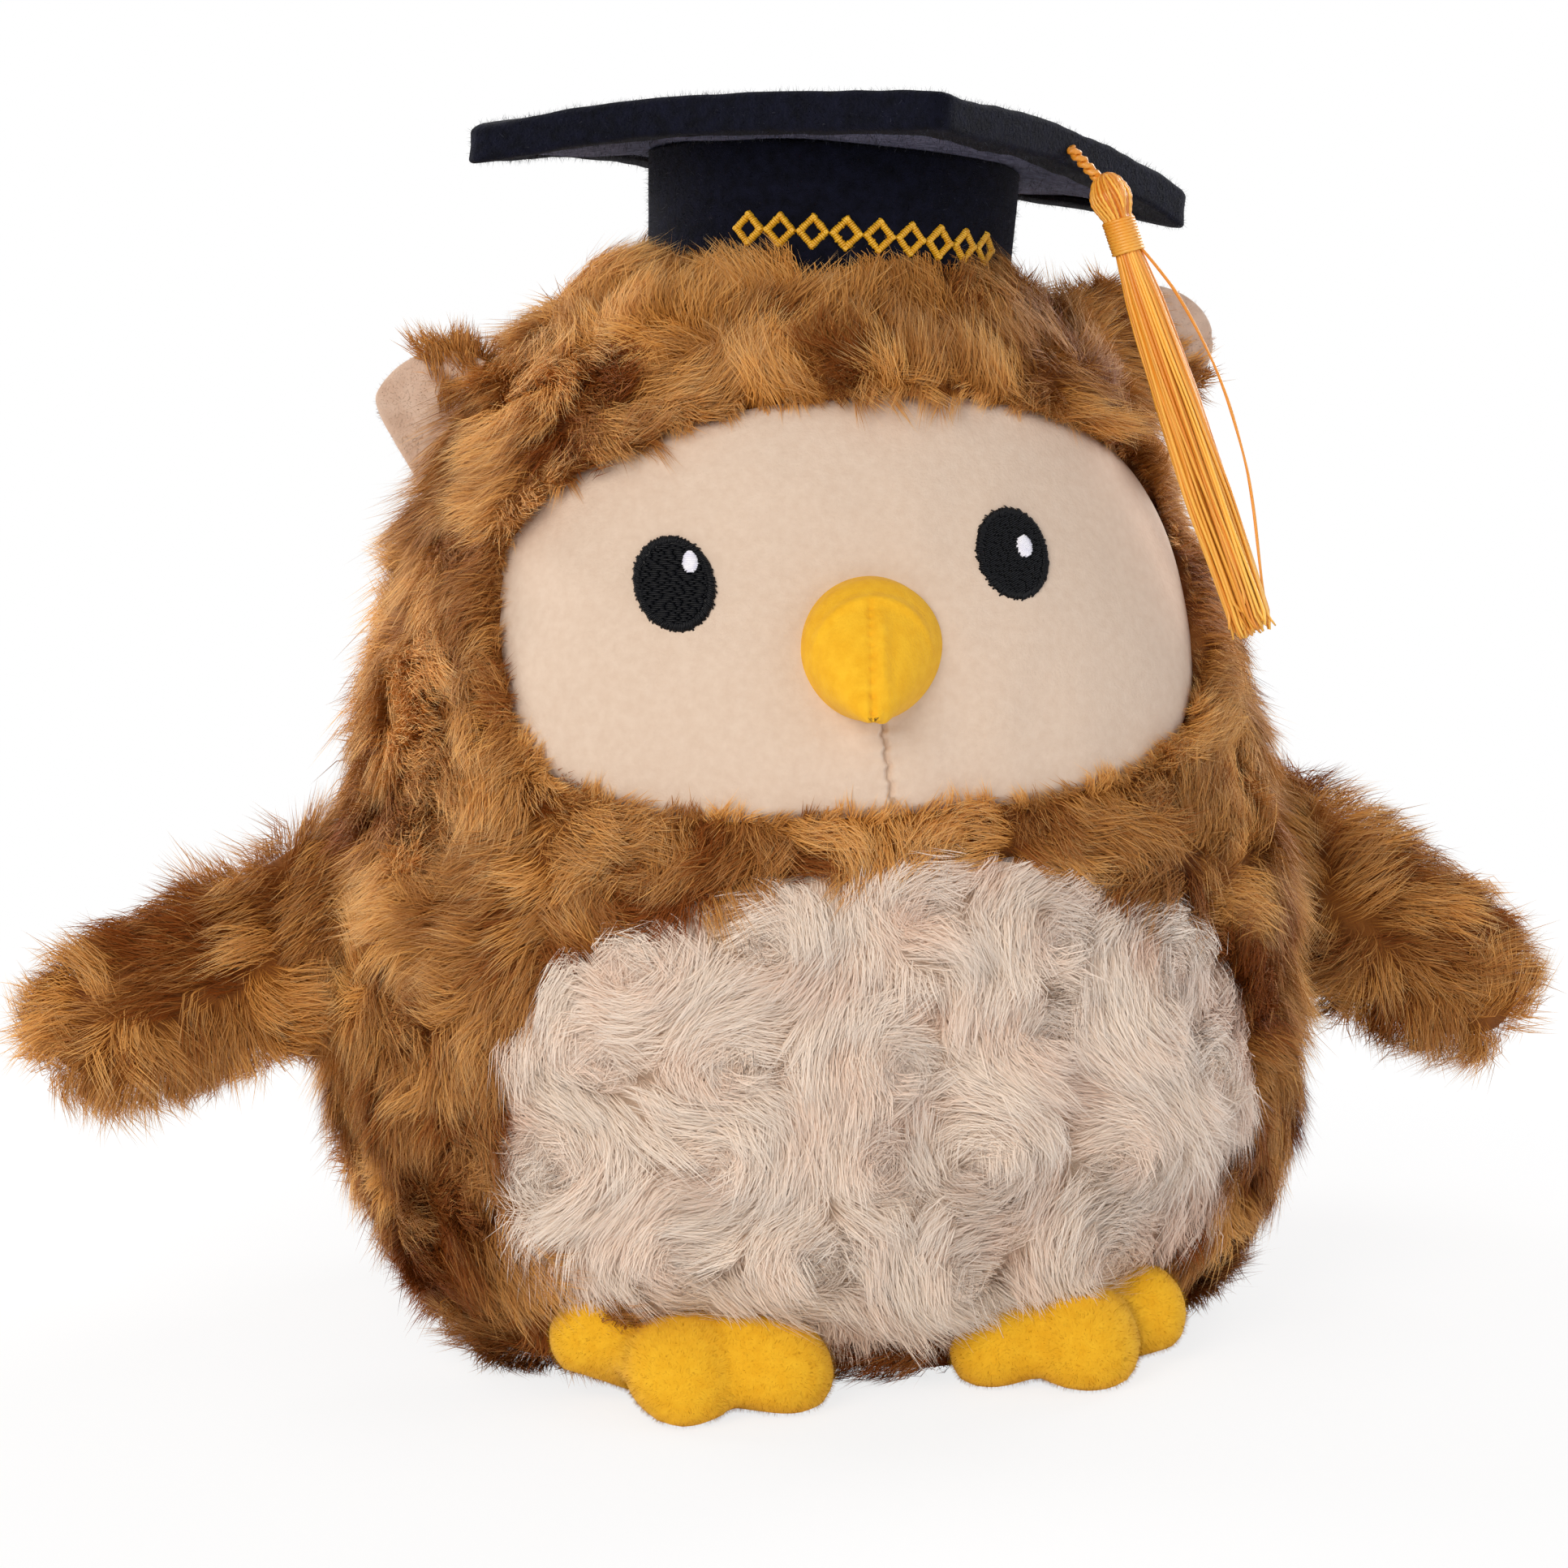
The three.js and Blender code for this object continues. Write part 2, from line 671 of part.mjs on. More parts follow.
// Pads: a flat outline in x and z that swells to the front and the back of a cupped middle sheet
function padForm(outline, centre, frontSwell, backSwell, cup, shift) {
  const place = (point, share, swell) => vector(
    centre.x + (point.x - centre.x) * share,
    cup * (1 - share ** 2) + shift + swell * Math.sqrt(Math.max(0, 1 - share ** padPower)),
    centre.y + (point.y - centre.y) * share,
  );
  const rings = [];
  for (let ring = 1; ring < padRings; ring += 1) {
    const turn = (Math.PI * ring) / padRings;
    const share = Math.sin(turn) ** padSpacing;
    const swell = Math.cos(turn) > 0 ? -frontSwell : backSwell;
    rings.push(outline.map((point) => place(point, share, swell)));
  }
  return loft(rings, place(centre, 0, -frontSwell), place(centre, 0, backSwell));
}

// Wings: the paddle hangs at an angle, and its root stays upright along the side seam
function wingEdge(droop, share, up) {
  const along = wingLength * (wingShoulderShare + (1 - wingShoulderShare) * share);
  const half = (wingWidth / 2) * Math.sqrt(1 - share ** wingTipPower) * up;
  return new THREE.Vector2(
    Math.max(0, along * Math.cos(droop) + half * Math.sin(droop)),
    half * Math.cos(droop) - along * Math.sin(droop),
  );
}
function wingOutline(droop, sign) {
  const points = [new THREE.Vector2(0, wingRootLength / 2)];
  for (let i = 1; i <= wingEdgeSteps; i += 1) {
    points.push(wingEdge(droop, i / wingEdgeSteps, 1));
  }
  for (let i = wingEdgeSteps - 1; i > 1; i -= 1) {
    points.push(wingEdge(droop, i / wingEdgeSteps, -1));
  }
  points.push(new THREE.Vector2(0, -wingRootLength / 2));
  points.push(new THREE.Vector2(0, 0));
  return points.map((point) => new THREE.Vector2(sign * point.x, point.y));
}
const wingFrontHalf = halfSpace('y', -halfGap, -1);
const wingBackHalf = halfSpace('y', halfGap, 1);
for (const [side, sign] of [['left', 1], ['right', -1]]) {
  const droop = radians(wingDroop[side]);
  const middle = wingLength * wingMiddleShare;
  const centre = new THREE.Vector2(sign * middle * Math.cos(droop), -middle * Math.sin(droop));
  const clothForm = padForm(
    wingOutline(droop, sign),
    centre,
    wingHalfThickness,
    wingHalfThickness,
    0,
    0,
  );
  const skin = solid(grown(clothForm, wingPile)).subtract(solid(grown(clothForm, -backingThickness)));
  const seat = sideSeat(sign, wingRootZ, wingRootLength / 2);
  const wing = new THREE.Group();
  wing.position.copy(seat.point).addScaledVector(seat.away, wingPile + flapGap);
  wing.rotation.set(-radians(wingTurn), -sign * seat.slope, 0, 'YXZ');
  owl.add(wing);
  add(`wing_front_${side}`, geometryOf(skin.intersect(wingFrontHalf)), brownFur, wing);
  add(`wing_back_${side}`, geometryOf(skin.intersect(wingBackHalf)), brownFur, wing);
  add(`wing_stuffing_${side}`, grown(clothForm, -backingThickness - fillGap), fibreFill, wing);
}

// Ears: a rounded flap of fur with a short napped lining, cupped towards the front
function earOutline(sign, height, sink) {
  const points = [];
  for (let i = 0; i <= earEdgeSteps; i += 1) {
    const turn = (Math.PI * i) / earEdgeSteps;
    const out = height * Math.sin(turn) ** earRoundness;
    points.push(new THREE.Vector2(
      sign * out,
      (earRootLength / 2) * Math.cos(turn) - out * Math.tan(sink),
    ));
  }
  points.push(new THREE.Vector2(0, 0));
  return points;
}
for (const [side, sign] of [['left', 1], ['right', -1]]) {
  const { levelShare, height } = ears[side];
  const sink = radians(ears[side].sink);
  const seat = sideSeat(sign, bodyHeight * levelShare, earRootLength / 2);
  const ear = new THREE.Group();
  ear.position.copy(seat.point).addScaledVector(seat.away, flapGap);
  ear.rotation.set(0, -sign * seat.slope, sign * radians(earTurn), 'YZX');
  owl.add(ear);
  const outline = earOutline(sign, height, sink);
  const middle = height * earMiddleShare;
  const centre = new THREE.Vector2(sign * middle, -middle * Math.tan(sink));
  const lining = padForm(outline, centre, earLiningThickness, 0, earCup, -halfGap);
  const furBack = padForm(outline, centre, 0, earFurThickness, earCup, halfGap);
  add(`ear_lining_${side}`, lining, liningCloth, ear);
  add(`ear_back_${side}`, furBack, brownFur, ear);
}

// Feet: a sole, an upper and their filling, pushed under the fur up to the body's cloth
for (const side of ['left', 'right']) {
  const inset = (amount) => solid(footForm(side, amount));
  const outsideBody = (body) => geometryOf(body.subtract(bodyGrown(seamGap)));
  const outer = inset(0);
  const aboveSole = halfSpace('z', footClothThickness + seamGap, 1);
  const upper = outer.subtract(inset(footClothThickness)).intersect(aboveSole);
  const sole = outer.intersect(halfSpace('z', footClothThickness, -1));
  add(`foot_upper_${side}`, outsideBody(upper), yellowPlush);
  add(`foot_sole_${side}`, outsideBody(sole), yellowPlush);
  add(`foot_stuffing_${side}`, outsideBody(inset(footClothThickness + fillGap)), fibreFill);
}

// Board: a square slab with a corner to the front, whose side corners hang
function boardDrop(x) {
  const past = Math.max(0, Math.abs(x) - boardFlatHalf);
  return boardDroop * (past / (boardHalfDiagonal - boardFlatHalf)) ** boardDroopPower;
}
function boardSlab(halfDiagonal, bottom, top) {
  const row = boardCells + 1;
  const points = [];
  const faces = [];
  const at = (layerIndex, i, j) => layerIndex * row * row + i * row + j;
  for (const height of [bottom, top]) {
    for (let i = 0; i < row; i += 1) {
      for (let j = 0; j < row; j += 1) {
        const x = halfDiagonal * ((i - j) / boardCells);
        const y = halfDiagonal * ((i + j) / boardCells - 1);
        points.push(vector(x, y, height - boardDrop(x)));
      }
    }
  }
  for (let i = 0; i < boardCells; i += 1) {
    for (let j = 0; j < boardCells; j += 1) {
      faces.push([at(1, i, j), at(1, i + 1, j), at(1, i + 1, j + 1)]);
      faces.push([at(1, i, j), at(1, i + 1, j + 1), at(1, i, j + 1)]);
      faces.push([at(0, i, j), at(0, i + 1, j + 1), at(0, i + 1, j)]);
      faces.push([at(0, i, j), at(0, i, j + 1), at(0, i + 1, j + 1)]);
    }
    for (const [a, b] of [
      [[i, 0], [i + 1, 0]],
      [[boardCells, i], [boardCells, i + 1]],
      [[i + 1, boardCells], [i, boardCells]],
      [[0, i + 1], [0, i]],
    ]) {
      faces.push([at(0, ...a), at(0, ...b), at(1, ...b)]);
      faces.push([at(0, ...a), at(1, ...b), at(1, ...a)]);
    }
  }
  return outward(points, faces);
}
const boardTop = crownTop + boardThickness;
const innerHalfDiagonal = boardHalfDiagonal - boardFelt * Math.SQRT2;
const filledHalfDiagonal = innerHalfDiagonal - seamGap * Math.SQRT2;
const boardRoom = solid(boardSlab(innerHalfDiagonal, crownTop - overrun, boardTop - boardFelt));
const topFelt = solid(boardSlab(boardHalfDiagonal, crownTop, boardTop)).subtract(boardRoom);
add('cap_board_top_felt', geometryOf(topFelt), blackFelt, cap);
add('cap_board_insert', boardSlab(
  filledHalfDiagonal,
  crownTop + boardFelt + seamGap,
  boardTop - boardFelt - seamGap,
), board, cap);
add('cap_board_under_felt', boardSlab(
  filledHalfDiagonal,
  crownTop,
  crownTop + boardFelt,
), blackFelt, cap);

// Band: a felt tube between the board and the head, with its filling
const headInCap = grown(bodyForm, seamGap).applyMatrix4(worldToCap);
const capLimit = solid(boardSlab(boardHalfDiagonal, crownTop - seamGap, crownTop + overrun));
const underBoard = (body) => body.subtract(capLimit).subtract(solid(headInCap));
const bandOutside = solid(crownCylinder(crownRadius, crownBottom, crownTop));
const bandInside = solid(crownCylinder(crownRadius - crownWall, crownBottom - overrun, boardTop));
add('cap_crown_band', geometryOf(underBoard(bandOutside.subtract(bandInside))), blackFelt, cap);
add('cap_crown_stuffing', geometryOf(underBoard(
  solid(crownCylinder(crownRadius - crownWall - seamGap, crownBottom, crownTop)),
)), fibreFill, cap);

// Ornament: diamonds joined corner to corner round the front of the band
function ornamentForm() {
  const rings = [];
  const steps = 2 * ornamentDiamonds;
  const inner = crownRadius + seamGap;
  const outer = inner + ornamentRaise;
  for (let i = 0; i <= steps; i += 1) {
    const angle = ((i - ornamentDiamonds) * ornamentPitch) / 2 / crownRadius;
    const half = (i % 2 === 0 ? ornamentNeck : ornamentHeight) / 2;
    const at = (radius, up) => vector(
      radius * Math.sin(angle),
      -radius * Math.cos(angle),
      ornamentCentre + up,
    );
    rings.push([at(inner, -half), at(inner, half), at(outer, half), at(outer, -half)]);
  }
  const middle = (ring) => ring[0].clone().add(ring[2]).multiplyScalar(1 / 2);
  return loft(rings, middle(rings[0]), middle(rings[steps]));
}
add('cap_embroidery', ornamentForm(), goldThread, cap);

// Tassel: it hangs from the edge of the board and leans on the side of the head
const edgeX = boardHalfDiagonal * tasselEdgeShare;
const edgeAway = vector(Math.SQRT1_2, -Math.SQRT1_2, 0);
const edgePoint = vector(
  edgeX,
  edgeX - boardHalfDiagonal,
  crownTop + boardThickness * tasselRiseShare - boardDrop(edgeX),
);
const cordPivot = edgePoint.addScaledVector(edgeAway, seamGap + tasselCordRadius);
const cord = new THREE.Group();
cord.position.copy(cordPivot).applyMatrix4(cap.matrixWorld);
cord.rotation.set(-radians(tasselLeanFront), -radians(tasselCordLean), 0);
owl.add(cord);

// A solid of revolution that hangs down from the group's origin, from radii and depths
function hanging(profile, sides) {
  const upward = profile.map(([radius, depth]) => new THREE.Vector2(radius, -depth)).reverse();
  const lathe = new THREE.LatheGeometry(upward, sides);
  lathe.rotateX(Math.PI / 2);
  lathe.deleteAttribute('normal');
  lathe.deleteAttribute('uv');
  return mergeVertices(lathe, tinyStep);
}

// A round end about the group's origin, as radii and depths from the top down
function roundTop(radius, steps) {
  const profile = [];
  for (let i = 0; i <= steps; i += 1) {
    const turn = (Math.PI / 2) * (i / steps);
    profile.push([radius * Math.sin(turn), -radius * Math.cos(turn)]);
  }
  return profile;
}
add('tassel_cord', hanging([
  ...roundTop(tasselCordRadius, roundEndSteps),
  [tasselCordRadius, tasselCordLength],
  [0, tasselCordLength],
], cordSides), tasselThread, cord);
cord.updateMatrixWorld(true);

const headEnd = tasselHeadLength - tasselHeadTop;
const wrapStart = headEnd + seamGap;
const skirtStart = wrapStart + tasselNeckLength + seamGap;

const tassel = new THREE.Group();
tassel.position.set(0, 0, -tasselCordLength - seamGap - tasselHeadTop).applyMatrix4(cord.matrixWorld);
const [, restShare] = tasselSkirtShares.find(([radiusShare]) => radiusShare === 1);
const restDepth = skirtStart + tasselSkirtLength * restShare;
const beside = vector(reach, tassel.position.y, tassel.position.z);
beside.y -= restDepth * Math.sin(radians(tasselLeanFront));
beside.z -= restDepth * Math.cos(radians(tasselLeanFront));
const restX = surfaceHit(furSurface, beside, vector(-1, 0, 0)).x + tasselSkirtRadius + tasselRestGap;
const tasselLeanOut = Math.atan2(restX - tassel.position.x, restDepth);
tassel.rotation.set(-radians(tasselLeanFront), -tasselLeanOut, 0);
owl.add(tassel);
add('tassel_head', hanging([
  ...roundTop(tasselHeadTop, roundEndSteps),
  [tasselHeadRadius, headEnd * tasselBulgeShare],
  [tasselNeckRadius, headEnd],
  [0, headEnd],
], latheSides), tasselThread, tassel);

const wrapProfile = [[0, wrapStart]];
for (let i = 0; i <= 2 * wrapRibs; i += 1) {
  const radius = tasselNeckRadius + (i % 2 === 0 ? 0 : tasselWrapRib);
  wrapProfile.push([radius, wrapStart + (tasselNeckLength * i) / (2 * wrapRibs)]);
}
wrapProfile.push([0, wrapStart + tasselNeckLength]);
add('tassel_wrap', hanging(wrapProfile, latheSides), tasselThread, tassel);

const skirtProfile = tasselSkirtShares.map(([radiusShare, depthShare]) => [
  tasselSkirtRadius * radiusShare,
  skirtStart + tasselSkirtLength * depthShare,
]);
add('tassel_skirt', hanging(
  [[0, skirtStart], ...skirtProfile, [0, skirtStart + tasselSkirtLength]],
  latheSides,
), tasselThread, tassel);

export default owl;
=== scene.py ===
import math
import bpy
import numpy as np
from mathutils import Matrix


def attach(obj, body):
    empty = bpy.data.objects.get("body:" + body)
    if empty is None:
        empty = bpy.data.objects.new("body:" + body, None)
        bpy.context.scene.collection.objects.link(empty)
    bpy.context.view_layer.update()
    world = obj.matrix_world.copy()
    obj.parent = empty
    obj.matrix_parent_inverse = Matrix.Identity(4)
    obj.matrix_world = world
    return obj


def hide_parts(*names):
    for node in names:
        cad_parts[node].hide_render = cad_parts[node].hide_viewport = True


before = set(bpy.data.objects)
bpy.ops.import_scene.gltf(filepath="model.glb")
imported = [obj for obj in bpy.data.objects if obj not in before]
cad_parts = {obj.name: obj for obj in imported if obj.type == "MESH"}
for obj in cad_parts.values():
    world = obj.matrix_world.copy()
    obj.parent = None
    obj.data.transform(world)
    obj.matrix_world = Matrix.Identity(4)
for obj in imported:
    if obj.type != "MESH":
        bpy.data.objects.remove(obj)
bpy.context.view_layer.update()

mm = 0.001  # shapes are worked out in millimetres and stored in metres
print("frame loaded")


def linearColour(hexText):
    # an sRGB hex colour as linear light: c / 12.92 below 0.04045, else ((c + 0.055) / 1.055) ^ 2.4
    parts = [int(hexText[i:i + 2], 16) / 255 for i in (1, 3, 5)]
    return [c / 12.92 if c <= 0.04045 else ((c + 0.055) / 1.055) ** 2.4 for c in parts] + [1]


def addNode(tree, kind, inputs=None, stops=None, **settings):
    # one node with its settings; inputs takes values or the sockets that feed it
    node = tree.nodes.new(kind)
    for name, value in settings.items():
        setattr(node, name, value)
    if stops:
        while len(node.color_ramp.elements) < len(stops):
            node.color_ramp.elements.new(0.5)
        for element, (place, colour) in zip(node.color_ramp.elements, stops):
            element.position = place
            element.color = linearColour(colour)
    for name, value in (inputs or {}).items():
        if isinstance(value, bpy.types.NodeSocket):
            tree.links.new(value, node.inputs[name])
        else:
            node.inputs[name].default_value = value
    return node


def newMaterial(name, **values):
    # a material whose shader starts with these plain values
    material = bpy.data.materials.new(name)
    material.use_nodes = True
    shader = material.node_tree.nodes["Principled BSDF"]
    for key, value in values.items():
        socket = shader.inputs[key.replace("_", " ")]
        socket.default_value = linearColour(value) if isinstance(value, str) else value
    return material, material.node_tree, shader


def unit(vectors):
    # each vector divided by its length
    return vectors / np.maximum(np.linalg.norm(vectors, axis=-1, keepdims=True), 1e-9)


def bell(distance, reach):
    # 1 at no distance, falling away on both sides as e ^ -(distance / reach) ^ 2
    return np.exp(-(distance / reach) ** 2)


def ramp(value, start, over):
    # 0 up to the start, then evenly up to 1 over this much
    return np.clip((value - start) / over, 0, 1)


def onCircle(radius, angle, z):
    # points at this radius, bearing and height
    return np.stack(np.broadcast_arrays(radius * np.cos(angle), radius * np.sin(angle), z), -1)


def gridFaces(rows, columns, closed=False):
    # four-sided faces of a grid of points, joined round its columns if closed
    i, j = np.meshgrid(np.arange(rows - 1), np.arange(columns if closed else columns - 1), indexing="ij")
    a = i * columns + j
    b = i * columns + (j + 1) % columns
    return np.stack([a, b, b + columns, a + columns], -1).reshape(-1, 4)


def facing(points, faces, outward):
    # turns the faces over if most of them look against the outward directions
    corners = points[faces]
    normals = np.cross(corners[:, 1] - corners[:, 0], corners[:, 2] - corners[:, 0])
    return faces if (normals * outward[faces[:, 0]]).sum() > 0 else faces[:, ::-1]


def makePiece(name, points, faces, material, body, uv=None, normals=None):
    # points in millimetres; faces is a list of arrays, one for each number of corners
    mesh = bpy.data.meshes.new(name)
    corners = np.concatenate([part.ravel() for part in faces]).astype(np.int32)
    sizes = np.concatenate([np.full(len(part), part.shape[1]) for part in faces])
    mesh.vertices.add(len(points))
    mesh.vertices.foreach_set("co", (points * mm).astype(np.float32).ravel())
    mesh.loops.add(len(corners))
    mesh.loops.foreach_set("vertex_index", corners)
    mesh.polygons.add(len(sizes))
    mesh.polygons.foreach_set("loop_start", np.concatenate([[0], np.cumsum(sizes)[:-1]]).astype(np.int32))
    mesh.polygons.foreach_set("use_smooth", np.full(len(sizes), True))
    if uv is not None:
        layer = mesh.uv_layers.new(name="OFBake")
        layer.data.foreach_set("uv", uv[corners].astype(np.float32).ravel())
    mesh.update(calc_edges=True)
    mesh.validate()
    if normals is not None:
        mesh.normals_split_custom_set_from_vertices(normals.astype(np.float32))
    mesh.materials.append(material)
    piece = bpy.data.objects.new(name, mesh)
    bpy.context.scene.collection.objects.link(piece)
    if body:
        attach(piece, body)
    return piece


def lumps(points, size, seed, count=14):
    # soft unevenness: the sum of sine waves about this long in random directions, about -1 to 1
    rng = np.random.default_rng(seed)
    directions = unit(rng.normal(size=(count, 3))) * (2 * np.pi / size) * rng.uniform(0.6, 1.4, (count, 1))
    return np.sin(points @ directions.T + rng.uniform(0, 2 * np.pi, count)).sum(-1) / math.sqrt(count)


def smoothRows(rows, steps):
    # a Catmull-Rom curve through the rows: between two rows a cubic whose end slopes follow their neighbours
    t = (np.arange(steps) / steps)[None, :, None]
    before, start, end, after = [rows[k:len(rows) - 3 + k, None, :] for k in range(4)]
    curve = 0.5 * (2 * start + (end - before) * t + (2 * before - 5 * start + 4 * end - after) * t ** 2
                   + (3 * start - before - 3 * end + after) * t ** 3)
    return np.concatenate([curve.reshape(-1, rows.shape[1]), rows[-2:-1]])


def smoothStep(share):
    # 0 to 1 with level ends: 3 s^2 - 2 s^3
    return share ** 2 * (3 - 2 * share)


view = dict(azimuth=-10.5, elevation=10.5, roll=-2.0, distance=1000, aim=(-3.8, 0, 95),
            pixel=0.146, pixels=1932, sensor=36, clip=(0.01, 20))


def cameraAxes():
    # the picture's right, its top, and the way back from the aim to the eye
    a, e, r = [math.radians(view[k]) for k in ("azimuth", "elevation", "roll")]
    back = np.array([math.sin(a) * math.cos(e), -math.cos(a) * math.cos(e), math.sin(e)])
    side = unit(np.cross(-back, [0, 0, 1]))
    up = np.cross(side, -back)
    right, top = side * math.cos(r) + up * math.sin(r), up * math.cos(r) - side * math.sin(r)
    return right, top, back, np.array(view["aim"]) + back * view["distance"]


def placeObject(name, data, right, top, back, place):
    # a camera or a lamp that looks along its own -Z
    thing = bpy.data.objects.new(name, data)
    matrix = np.eye(4)
    matrix[:3, 0], matrix[:3, 1], matrix[:3, 2], matrix[:3, 3] = right, top, back, place * mm
    thing.matrix_world = matrix.T.tolist()
    bpy.context.scene.collection.objects.link(thing)
    return thing


def setCamera():
    # looks at the aim from this far, so that one photo pixel is this many millimetres there
    data = bpy.data.cameras.new("photoCamera")
    data.sensor_width = view["sensor"]
    data.lens = view["sensor"] * view["distance"] / (view["pixel"] * view["pixels"])
    data.clip_start, data.clip_end = view["clip"]
    bpy.context.scene.camera = placeObject("photoCamera", data, *cameraAxes())


lights = dict(
    key=dict(place=(-440, -680, 540), size=560, power=4.65, colour="#FFF6EC"),
    fill=dict(place=(640, -480, 330), size=620, power=1.2, colour="#F3F6FF"),
    rimLeft=dict(place=(-520, 420, 420), size=420, power=3.6, colour="#FFFFFF"),
    rimRight=dict(place=(560, 380, 380), size=420, power=3.6, colour="#FFFFFF"),
    surround=0.31, aimHeight=95.0,
)


def setLights():
    for name in ("key", "fill", "rimLeft", "rimRight"):
        lamp = lights[name]
        data = bpy.data.lights.new(name, "AREA")
        data.shape = "DISK"
        data.size = lamp["size"] * mm
        data.energy = lamp["power"]
        data.color = linearColour(lamp["colour"])[:3]
        place = np.array(lamp["place"], float)
        back = unit(place - np.array([0, 0, lights["aimHeight"]]))
        side = unit(np.cross([0, 0, 1], back))
        placeObject(name, data, side, np.cross(back, side), back, place)
    world = bpy.data.worlds.new("whiteStudio")
    world.use_nodes = True
    tree = world.node_tree
    rays = addNode(tree, "ShaderNodeLightPath")
    seen = rays.outputs["Is Camera Ray"]
    for ray in ("Is Glossy Ray", "Is Transmission Ray"):
        either = addNode(tree, "ShaderNodeMath", {0: seen, 1: rays.outputs[ray]}, operation="MAXIMUM")
        seen = either.outputs[0]
    strength = addNode(tree, "ShaderNodeMapRange",
                       {"Value": seen, "To Min": lights["surround"], "To Max": 1.0})
    background = tree.nodes["Background"]
    background.inputs["Color"].default_value = (1, 1, 1, 1)
    tree.links.new(strength.outputs[0], background.inputs["Strength"])
    bpy.context.scene.world = world
    bpy.context.scene.view_settings.view_transform = "Standard"


sweep = dict(half=2500, height=-0.1, glowFrom=0.12, glowTo=0.42, glowLeast=0.8)


def layFloor():
    # a wide pale sheet just under the owl; what the camera sees of it is lifted towards white
    material, tree, shader = newMaterial("palePaperSweep", Base_Color="#F4F4F5", Roughness=0.8)
    rays = addNode(tree, "ShaderNodeLightPath")
    glow = addNode(tree, "ShaderNodeEmission", {"Color": (1, 1, 1, 1), "Strength": 1.0})
    place = addNode(tree, "ShaderNodeTexCoord")
    far = addNode(tree, "ShaderNodeVectorMath", {0: place.outputs["Object"]}, operation="LENGTH")
    share = addNode(tree, "ShaderNodeMapRange", {"Value": far.outputs["Value"], "From Min": sweep["glowFrom"],
                    "From Max": sweep["glowTo"], "To Min": sweep["glowLeast"], "To Max": 1.0},
                    interpolation_type="SMOOTHSTEP")
    mix = addNode(tree, "ShaderNodeMath", {0: rays.outputs["Is Camera Ray"], 1: share.outputs[0]},
                  operation="MULTIPLY")
    both = addNode(tree, "ShaderNodeMixShader", {0: mix.outputs[0], 1: shader.outputs[0], 2: glow.outputs[0]})
    tree.links.new(both.outputs[0], tree.nodes["Material Output"].inputs["Surface"])
    corners = ((-1, -1), (1, -1), (1, 1), (-1, 1))
    points = np.array([[x * sweep["half"], y * sweep["half"], sweep["height"]] for x, y in corners], float)
    floor = makePiece("floor", points, [np.array([[0, 1, 2, 3]])], material, None)


setCamera()
setLights()
layFloor()
print("camera, lights and floor set")


def objectNoise(tree, spacing, detail=2, roughness=0.5):
    # noise whose patches are about this many millimetres apart
    place = addNode(tree, "ShaderNodeTexCoord")
    return addNode(tree, "ShaderNodeTexNoise", {"Vector": place.outputs["Object"], "Scale": 1000 / spacing,
                                                "Detail": detail, "Roughness": roughness})


def clothMaterial(name, dark, light, patch, grain, depth, **values):
    # short cloth: two close colours in soft patches, and a fine grain that stands this many millimetres
    material, tree, shader = newMaterial(name, **values)
    patches = objectNoise(tree, patch, 3)
    colour = addNode(tree, "ShaderNodeValToRGB", {"Fac": patches.outputs["Fac"]},
                     stops=[(0.3, dark), (0.7, light)])
    tree.links.new(colour.outputs["Color"], shader.inputs["Base Color"])
    fine = objectNoise(tree, grain, 3, 0.6)
    bump = addNode(tree, "ShaderNodeBump", {"Height": fine.outputs["Fac"], "Strength": 0.6,
                                            "Distance": depth * mm})
    tree.links.new(bump.outputs["Normal"], shader.inputs["Normal"])
    return material


def pileMaterial(name, darkStops, lightStops, through=0.0, **values):
    # a strand's colour runs along V from root to tip, and U picks its place between a dark and a light one;
    # through is the share of light that passes on through a clear fibre, which softens the shade between them
    material, tree, shader = newMaterial(name, **values)
    place = addNode(tree, "ShaderNodeUVMap", uv_map="OFBake")
    parts = addNode(tree, "ShaderNodeSeparateXYZ", {"Vector": place.outputs["UV"]})
    darkRamp = addNode(tree, "ShaderNodeValToRGB", {"Fac": parts.outputs["Y"]}, stops=darkStops)
    lightRamp = addNode(tree, "ShaderNodeValToRGB", {"Fac": parts.outputs["Y"]}, stops=lightStops)
    mix = addNode(tree, "ShaderNodeMix", data_type="RGBA")
    tree.links.new(parts.outputs["X"], mix.inputs["Factor"])
    tree.links.new(darkRamp.outputs["Color"], mix.inputs[6])
    tree.links.new(lightRamp.outputs["Color"], mix.inputs[7])
    tree.links.new(mix.outputs[2], shader.inputs["Base Color"])
    if through:
        behind = addNode(tree, "ShaderNodeBsdfTranslucent", {"Color": mix.outputs[2]})
        both = addNode(tree, "ShaderNodeMixShader", {0: through, 1: shader.outputs[0], 2: behind.outputs[0]})
        tree.links.new(both.outputs[0], tree.nodes["Material Output"].inputs["Surface"])
    return material


# polyester long pile: darker towards the root, which is painted shade deep in the pile, and golden and a
# little silky at the tip
brownPile = pileMaterial("brownLongPile",
    [(0.0, "#5C2A08"), (0.4, "#783A0C"), (0.8, "#924C16"), (1.0, "#AE6828")],
    [(0.0, "#B26C22"), (0.35, "#D89444"), (0.75, "#F2BC72"), (1.0, "#FFE0AA")],
    through=0.15, Roughness=0.6, Specular_IOR_Level=0.12)
# cream pile of the belly: also darker and warmer towards the root, painted shade deep in the pile
creamPile = pileMaterial("creamRosettePile",
    [(0.0, "#E8C0A4"), (0.4, "#F2CCB2"), (0.8, "#FADAC4"), (1.0, "#FFE8D6")],
    [(0.0, "#FFE4CE"), (0.4, "#FFEFDF"), (0.8, "#FFF5EA"), (1.0, "#FFFAF3")],
    through=0.15, Roughness=0.6, Specular_IOR_Level=0.15)
